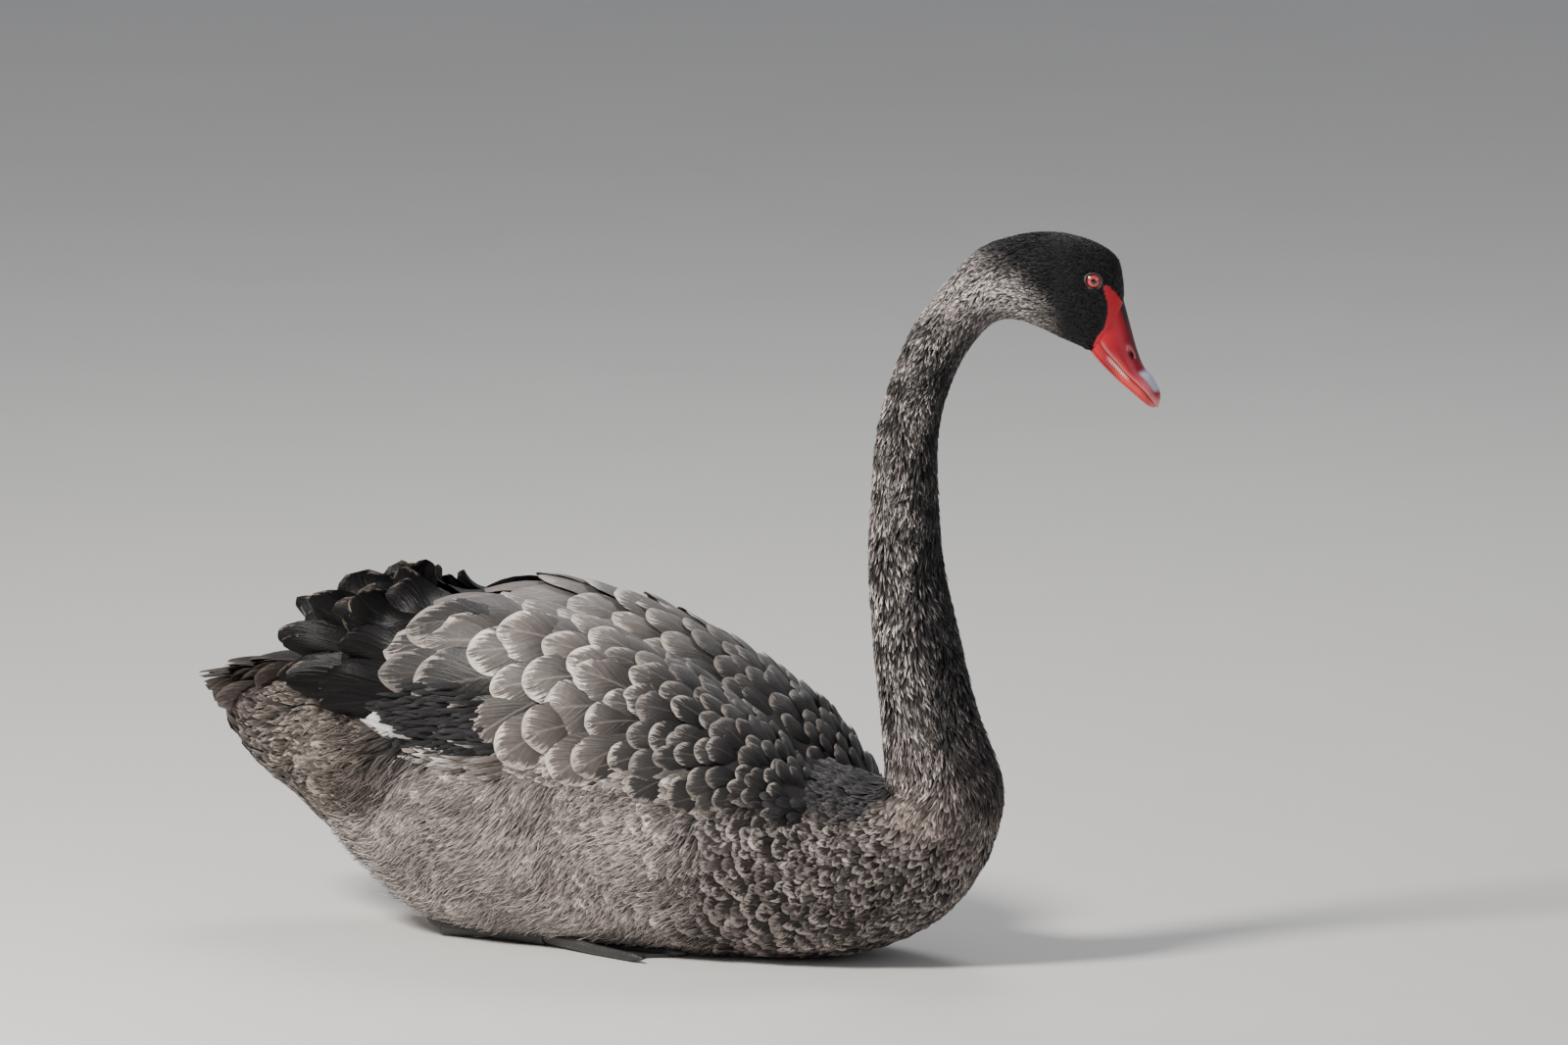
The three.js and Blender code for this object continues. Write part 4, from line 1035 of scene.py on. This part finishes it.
def flank_cover(side):
    """Soft flank and thigh feathers that come up over the lower edge of the folded wing."""
    surface, random = WINGS[side], np.random.default_rng(COVER_SEEDS[side])
    rows = []
    for row_x in np.arange(COVER_EDGE[0, 0], COVER_EDGE[-1, 0], COVER_PITCH * COARSER):
        high = np.interp(row_x, *COVER_EDGE.T) + random.normal(0, 2.5)
        angles = wing_arc(surface, row_x, COVER_LOWEST, high, COVER_PITCH)
        angles = angles + random.normal(0, 0.03, len(angles))
        rows.append([row_x + random.normal(0, 1.4, len(angles)), angles])
    x, angle = np.concatenate(rows, 1)
    thigh = 1 - smooth(-48, -34, x)
    front = smooth(60, 110, x)
    count = len(x)
    long, wide, lift = (size + more * thigh + ahead * front for size, more, ahead in COVER_SIZES.values())
    long = long * vary(random, 0.16, count, 0.6, 1.4)
    wide = wide * vary(random, 0.15, count, 0.6, 1.4)
    lean = random.normal(0, 1, count) * (0.22 - 0.1 * thigh) - (0.55 - 0.35 * thigh)
    lift = lift * vary(random, 0.1, count, 0.4, 1.6)
    lines, outs = lay(surface, x, angle, long, lean, FIVE_STEPS, -1.5, lift)
    shown = ~on_white(lines).any(1)
    x, angle, wide, lines, outs = (values[shown] for values in (x, angle, wide, lines, outs))
    roll = random.normal(0, 0.2, len(x))
    rings = vane_rings(lines, outs, FIVE_STEPS, wide, (0.45, 0.55, 0.22), 3, roll, 0.2, 0.5)
    points = surface.at(x, angle)
    shoulder = smooth(108, 138, x) * smooth(-0.25, 0.35, angle)
    tones = blend_pair(flank_tones(points), MANTLE, shoulder)
    tones = uneven_tones(random, tones, points, 0.7, (1.0, 1.1), 0.3, 16)
    bake = uv_grid((angle + 2) / 4, (x + 150) / 320)
    dress(vanes(f"flank_cover_{side}", rings, FIVE_STEPS, bake, *tones), "black_plumage", DOWN)


def wing_core(side):
    surface = WINGS[side]
    x = np.linspace(WING_STATIONS[0][0] - WING_CORE["ahead"], WING_CORE["end_x"], 60)[:, None]
    angle = circle(48)[None]
    rings = surface.at(x, angle, -WING_CORE["inset"])
    taper = smooth(0, 1, (WING_CORE["taper_from_x"] - x) / (WING_CORE["taper_from_x"] - WING_CORE["end_x"]))
    share = 1 - (1 - WING_CORE["end_share"]) * taper
    centre = rings.mean(1, keepdims=True)
    rings = centre + (rings - centre) * share[..., None]
    keep_to_side(rings, surface.hand)
    bake = uv_grid(angle / ROUND, (x - x.min()) / np.ptp(x))
    base = np.broadcast_to(np.asarray(COVERT_DARK) * 0.7, rings.shape)
    piece = tube_mesh(f"wing_core_{side}", rings, {"OFBake": bake}, {"base": base}, 60, side == "right")
    dress(piece, "wing_feathers", SKIN, f"wing_{side}")


# White flight feathers

PRIMARY = {
    "count": 5, "from_x": -104, "length": 74, "width": 11, "angles": (-36, -8), "root": -5.0, "lift": 2.6,
    "lean": -0.02, "roll": 0.12,
}
WHITE_BASE = (0.78, 0.77, 0.74)


def primaries(side):
    surface, count = WINGS[side], PRIMARY["count"]
    share = np.linspace(0, 1, count)
    angle = np.radians(lerp(*PRIMARY["angles"], share))
    long = PRIMARY["length"] * (1 - 0.08 * share)
    x = PRIMARY["from_x"] - 4 * share
    lean, lift, wide, roll = (np.full(count, PRIMARY[key]) for key in ("lean", "lift", "width", "roll"))
    lines, outs = lay(surface, x, angle, long, lean, VANE_STEPS, PRIMARY["root"], lift)
    rings = vane_rings(lines, outs, VANE_STEPS, wide, (0.7, 0.5, 0.3), 7, surface.hand * roll, 0.12, 0.8)
    base = np.repeat(np.asarray(WHITE_BASE)[None], count, 0)
    piece = large_vanes(f"white_primaries_{side}", rings, VANE_STEPS, 3, base, base)
    dress(piece, "white_feathers", WHITE, f"primaries_{side}")


# Tail

# Fans, from the lowest up: hinge x and z, count, spread in degrees, length in the middle and at the
# sides, width, how far each lies under the next one inward, droop of the tips, seed
TAIL_FANS = {
    "tail_feathers": [-244, 158, 14, 35, 84, 60, 27, 1.9, 5, 61],
    "tail_coverts_middle": [-246, 163, 11, 38, 62, 46, 28, 2.2, 2, 62],
    "tail_coverts_upper": [-226, 169, 10, 40, 64, 52, 30, 2.4, 4, 63],
}
TAIL_COLS = 9
TAIL_FORM = (0.5, 0.72, 0.42)
TAIL_ROLL = 0.95  # of the outermost feathers
TAIL_ARCH = 6
TAIL_ROOTS = 12  # how far aside a feather's root stands, for each radian of the fan
TAIL_BASE = (0.080, 0.066, 0.061)
TAIL_EDGE = (0.27, 0.225, 0.20)


def tail_fan(name, hinge_x, hinge_z, count, spread, length, side_length, width, stagger, droop, seed):
    random = np.random.default_rng(seed)
    place = np.arange(count) - (count - 1) / 2
    outward = np.abs(place)[:, None] / place[-1]
    turn = np.radians(spread * place / place[-1] + random.normal(0, 0.8, count))[:, None]
    long = lerp(length, side_length, outward[:, 0])
    reach = (long * random.normal(1, 0.03, count))[:, None] * VANE_STEPS[None]
    arch = TAIL_ARCH * np.sin(VANE_STEPS * 2.4) - droop * VANE_STEPS**2
    z = hinge_z - stagger * np.abs(place)[:, None] + arch[None]
    lines = np.stack([hinge_x - np.cos(turn) * reach, np.sin(turn) * reach + turn * TAIL_ROOTS, z], -1)
    outs = np.broadcast_to(np.array([0, 0, 1.0]), lines.shape)
    wide = width * random.normal(1, 0.06, count)
    ruffle = 0.5 * np.sin(VANE_STEPS * 9)[None, :, None]
    fray = frayed(random, count, VANE_STEPS, TAIL_COLS, 0.015)
    roll = -TAIL_ROLL * place / place[-1]
    rings = vane_rings(lines, outs, VANE_STEPS, wide, TAIL_FORM, TAIL_COLS, roll, 0.16, 0.9, ruffle, fray)
    # Painted shade: the middle feathers, which lie on top, are made darker than the outer ones to tone down
    # the light on their tops.
    top_shade = 0.3 + 0.7 * outward
    base = np.asarray(TAIL_BASE) * (0.8 + 0.6 * random.random((count, 1))) * top_shade
    piece = large_vanes(name, rings, VANE_STEPS, 4, base, np.asarray(TAIL_EDGE) * top_shade)
    dress(piece, "black_plumage", TAIL)


# Bill

BILL_CRIMSON = (0.29, 0.0025, 0.018)
# Painted shade along the top of the bill near its base
BILL_CULMEN_SHADE = (0.075, 0.002, 0.014)
BILL_CORAL = (0.66, 0.055, 0.05)
BILL_PINK = (0.70, 0.20, 0.22)
BILL_BAR = (0.60, 0.64, 0.80)
NOSTRIL_SHADE = (0.03, 0.005, 0.006)
LAMELLA = (0.88, 0.76, 0.70)
LAMELLAE = 40
MOUTH_GAP = 0.25
NOSTRIL = {"along": 0.285, "up": 0.72, "long": 0.035, "high": 0.08, "depth": 2.2, "rim": 0.4}

# Markings: colour, strength, then the shares over which it comes in and goes out, along the bill and up
# from the line of the mouth
UPPER_MARKS = [
    # The first mark is painted shade along the top of the bill near its base.
    (BILL_CULMEN_SHADE, 0.85, None, (0.3, 0.42), (0.68, 0.95), None),
    (BILL_CORAL, 0.75, (0.12, 0.3), None, None, (0.1, 0.32)),
    (BILL_PINK, 0.55, (0.0, 0.06), None, None, (0.05, 0.12)),
    (BILL_PINK, 0.55, (0.38, 0.75), None, None, (0.35, 0.7)),
    (BILL_BAR, 0.92, (0.42, 0.49), (0.69, 0.77), (0.44, 0.76), None),
    (BILL_PINK, 0.8, (0.76, 0.9), None, None, None),
    (FACE[0], 1.0, None, (0.05, 0.17), (0.8, 0.93), None),
]
LOWER_MARKS = [
    (BILL_CORAL, 0.85, (0.15, 0.4), None, (0.0, 0.25), None),
    (LAMELLA, None, (0.14, 0.22), (0.38, 0.5), (0.04, 0.12), (0.24, 0.4)),
    (BILL_PINK, 0.6, (0.8, 0.95), None, None, None),
]


def marked(base, marks, travel, height):
    """Lays markings over a colour. One with no strength is striped, as the fine plates of the bill are."""
    stripes = 0.1 + 0.75 * smooth(0.4, 0.7, 0.5 + 0.5 * np.sin(travel * ROUND * LAMELLAE))
    for colour, strength, along_in, along_out, up_in, up_out in marks:
        share = (stripes if strength is None else strength) * np.ones(height.shape)
        for value, rise, fall in ((travel, along_in, along_out), (height, up_in, up_out)):
            share = share * smooth(*rise, value) if rise else share
            share = share * (1 - smooth(*fall, value)) if fall else share
        base = blend(base, colour, share)
    return base


def bill_half(name, is_upper, node):
    t = np.linspace(0, 1, 240)[:, None]
    angle = np.linspace(0, math.pi, 72)[None]
    cx, cz, mx, mz, hx, hz, half = (v[:, None] for v in np.moveaxis(along(BILL_STATIONS, t[:, 0]), -1, 0))
    ax, az = (cx - mx, cz - mz) if is_upper else (hx - mx, hz - mz)
    square = 2.2 if is_upper else 2.8
    gap = np.minimum(MOUTH_GAP / np.hypot(ax, az), 0.4)
    reach = gap + (1 - gap) * np.sin(angle) ** (2 / square)
    c = np.cos(angle)
    across = np.sign(c) * np.abs(c) ** (2 / square) * half * (1 if is_upper else 0.9)
    flat = np.stack([mx + ax * reach, across, mz + az * reach], -1)
    height = (reach - gap) / (1 - gap)
    travel = np.broadcast_to(t, height.shape)
    base = blend(LORE_RED, BILL_CRIMSON, smooth(0.0, 0.28, travel))
    base = marked(base, UPPER_MARKS if is_upper else LOWER_MARKS, travel, height)
    if is_upper:
        behind = (NOSTRIL["along"] - travel) / NOSTRIL["long"]
        above = (height - NOSTRIL["up"]) / NOSTRIL["high"]
        slit = np.hypot(behind, above)
        dent = np.exp(-(slit**2) * 1.2)
        rim = np.exp(-((slit - 1.5) ** 2) * 4)
        sunk = (NOSTRIL["depth"] * dent - NOSTRIL["rim"] * rim) * (np.abs(flat[..., 1]) > 2)
        flat[..., 1] -= np.sign(flat[..., 1]) * sunk
        # Painted shade of the nostril's opening, over the shallow dent.
        base = blend(base, NOSTRIL_SHADE, 0.95 * dent)
        base = blend(base, BILL_PINK, 0.6 * rim * smooth(-0.3, 0.3, behind + above))
    bake = uv_grid(angle / math.pi, t)
    piece = tube_mesh(name, turned(flat), {"OFBake": bake}, {"base": base}, 50, not is_upper)
    dress(piece, "red_bill", BILL, node)


# Eyes and lids

IRIS = ((0.38, 0.016, 0.016), (0.70, 0.062, 0.052))
IRIS_RIM = (0.10, 0.006, 0.006)
PUPIL = (0.003, 0.002, 0.002)
PUPIL_EDGE = (0.42, 0.46)  # shares of the iris
EYE_RIM = (0.012, 0.006, 0.006)
CORNEA = {"rise": 0.35, "angle": 0.38}
LIDS = {"reach": 5.45, "thick": 1.0, "side": 18.7}
LID_DARK = (0.016, 0.013, 0.013)
LID_RED = (0.16, 0.03, 0.028)
LID_GLINT = (0.55, 0.50, 0.47)


def eye_material():
    """A red iris with fine rays round a black pupil, under a clear wet front."""
    f = Finish("eye")
    radius, round_ = f.uv("front")
    rays = f.noise(60, 3, f.vector(f.times(radius, 0.15), round_))
    iris = f.mix(f.ramp(radius, 0.75, 1.0), f.mix(rays, *IRIS), IRIS_RIM)
    wobbly = f.plus(radius, f.line(f.noise(900, 4), 0.03, -0.015))
    colour = f.mix(f.ramp(wobbly, *PUPIL_EDGE), PUPIL, iris)
    colour = f.mix(f.ramp(radius, 1.0, 1.06), colour, EYE_RIM)
    return f.shade(colour, 0.16, {"Coat Weight": 1.0, "Coat Roughness": 0.03})


def on_eye(hand, reach, out, angle):
    """Points round the eye's axis, before the head is turned."""
    y = hand * out + 0 * angle
    return np.stack([EYE["x"] + reach * np.cos(angle), y, EYE["z"] + reach * np.sin(angle)], -1)


def eye(side, hand, material):
    polar = np.linspace(0.02, math.pi - 0.02, 48)[:, None]
    angle = circle(64)[None]
    radius = EYE["radius"] - 0.05
    ball = radius + CORNEA["rise"] * np.exp(-((polar / CORNEA["angle"]) ** 2))
    flat = on_eye(hand, ball * np.sin(polar), EYE["side"] + ball * np.cos(polar), angle)
    front = uv_grid(radius * np.sin(np.minimum(polar, math.pi / 2)) / EYE["iris"], angle / ROUND)
    spread = 0.48 * polar / math.pi
    bake = uv_grid(0.5 + spread * np.cos(angle), 0.5 + spread * np.sin(angle))
    piece = tube_mesh(f"eyeball_{side}", turned(flat), {"OFBake": bake, "front": front}, {}, 80, hand < 0)
    dress(piece, "red_eye", material, f"eye_{side}")


def lids(side, hand):
    """The ring of bare skin round the eye, a little longer than high, with fine folds and painted wet
    highlights on its rear.
    """
    rows, cols = 96, 20
    angle = circle(rows)[:, None]
    tube = circle(cols)[None]
    thick = LIDS["thick"] * (1 + 0.12 * np.sin(angle * 17) + 0.1 * np.cos(angle * 2))
    reach = LIDS["reach"] * (1 + 0.045 * np.cos(2 * (angle - 2.6))) + thick * np.cos(tube)
    flat = on_eye(hand, reach, LIDS["side"] + 0.9 * thick * np.sin(tube) - 0.25 * np.cos(2 * angle), angle)
    inner = 0.5 - 0.5 * np.cos(tube + 0 * angle)
    base = blend(LID_DARK, LID_RED, smooth(0.55, 0.95, inner) * 0.7)
    # Painted highlights: small pale wet glints on the rear and lower rear of the ring.
    glint = np.exp(-(((angle - 3.0) / 0.28) ** 2)) + 0.8 * np.exp(-(((angle - 4.15) / 0.16) ** 2))
    base = blend(base, LID_GLINT, 0.7 * glint * np.exp(-(((tube - 0.9) / 0.5) ** 2)))
    quads = grid_faces(rows, cols, ring=True)
    if hand < 0:
        quads = quads[:, ::-1]
    points, no_tris = turned(flat).reshape(-1, 3), np.zeros((0, 3), int)
    uvs = {"OFBake": uv_grid(angle / ROUND, tube / ROUND).reshape(-1, 2)}
    colours = {"base": base.reshape(-1, 3)}
    dress(build_mesh(f"lids_{side}", points, quads, no_tris, uvs, colours, 80), "black_plumage", LID)


# Feet


def foot_material():
    """Black leathery skin in small scales."""
    f = Finish("foot_skin")
    cells = f.node("TexVoronoi", {"Scale": 420, "Vector": f.object_place()})
    f.relief(cells.outputs["Distance"], 0.5, 0.0006)
    return f.shade(f.mix(f.noise(90, 4), (0.012, 0.012, 0.013), (0.04, 0.037, 0.037)), 0.5)


def feet():
    material = foot_material()
    for side in HANDS:
        leg = bpy.data.objects[f"leg_{side}"]
        leg.data.materials.clear()
        leg.data.materials.append(material)


# Stage, light and camera

PHOTO = {"width": 1600, "height": 1066, "scale": 0.65, "azimuth": 27, "elevation": 9}
PHOTO_ORIGIN_PIXEL = (655, 957.3)  # where the floor under the belly's middle falls in the photograph
LENS = 1000
SENSOR = 36
LIGHT_AIM = (0, 0, 0.22)
# Lights: azimuth, elevation, distance and size in metres, power, colour
LIGHTS = {
    "key": (-26, 42, 2.4, 0.6, 98, (1, 0.96, 0.9)),
    "rim": (200, 50, 2.6, 1.2, 24, (1, 1, 1)),
    "fill": (70, 20, 2.8, 1.6, 8, (1, 1, 1)),
}


def direction(azimuth, elevation):
    """From the swan towards a viewer or a light."""
    a, e = math.radians(azimuth), math.radians(elevation)
    return Vector((math.sin(a) * math.cos(e), -math.cos(a) * math.cos(e), math.sin(e)))


def camera():
    back = direction(PHOTO["azimuth"], PHOTO["elevation"])
    right = direction(PHOTO["azimuth"] + 90, 0)
    up = back.cross(right)
    scale = PHOTO["scale"] * MM
    aim = right * (PHOTO["width"] / 2 - PHOTO_ORIGIN_PIXEL[0]) * scale
    aim += up * (PHOTO_ORIGIN_PIXEL[1] - PHOTO["height"] / 2) * scale
    distance = PHOTO["width"] * scale * LENS / SENSOR
    data = bpy.data.cameras.new("camera")
    data.lens, data.sensor_width, data.clip_end = LENS, SENSOR, 60
    thing = bpy.data.objects.new("camera", data)
    facing = Matrix((right, up, back)).transposed().to_4x4()
    thing.matrix_world = Matrix.Translation(aim + back * distance) @ facing
    bpy.context.scene.collection.objects.link(thing)
    bpy.context.scene.camera = thing


def light(name, azimuth, elevation, distance, size, power, colour):
    back = direction(azimuth, elevation)
    data = bpy.data.lights.new(name, "AREA")
    data.shape, data.size, data.energy, data.color = "DISK", size, power, colour
    thing = bpy.data.objects.new(name, data)
    thing.location = Vector(LIGHT_AIM) + back * distance
    thing.rotation_euler = back.to_track_quat("Z", "Y").to_euler()
    bpy.context.scene.collection.objects.link(thing)


def studio():
    world = bpy.data.worlds.new("studio")
    world.use_nodes = True
    world.node_tree.nodes["Background"].inputs["Color"].default_value = (0.9, 0.93, 1.0, 1)
    world.node_tree.nodes["Background"].inputs["Strength"].default_value = 0.33
    bpy.context.scene.world = world
    for name, values in LIGHTS.items():
        light(name, *values)
    bpy.ops.mesh.primitive_plane_add(size=30, location=(0, 0, -0.0005))
    floor = bpy.context.object
    floor.name = "floor"
    f = Finish("floor")
    floor.data.materials.append(f.shade(f.mix(f.noise(6, 2), (0.66, 0.65, 0.63), (0.7, 0.69, 0.67)), 0.7))


def main():
    skin()
    coats()
    for side in HANDS:
        wing_core(side)
        coverts(side)
        curls(side)
        flank_cover(side)
        primaries(side)
    for name, values in TAIL_FANS.items():
        tail_fan(name, *values)
    bill_half("bill_top", True, "bill_upper")
    bill_half("bill_under", False, "bill_lower")
    iris = eye_material()
    for side, hand in HANDS.items():
        eye(side, hand, iris)
        lids(side, hand)
    feet()
    studio()
    camera()


main()
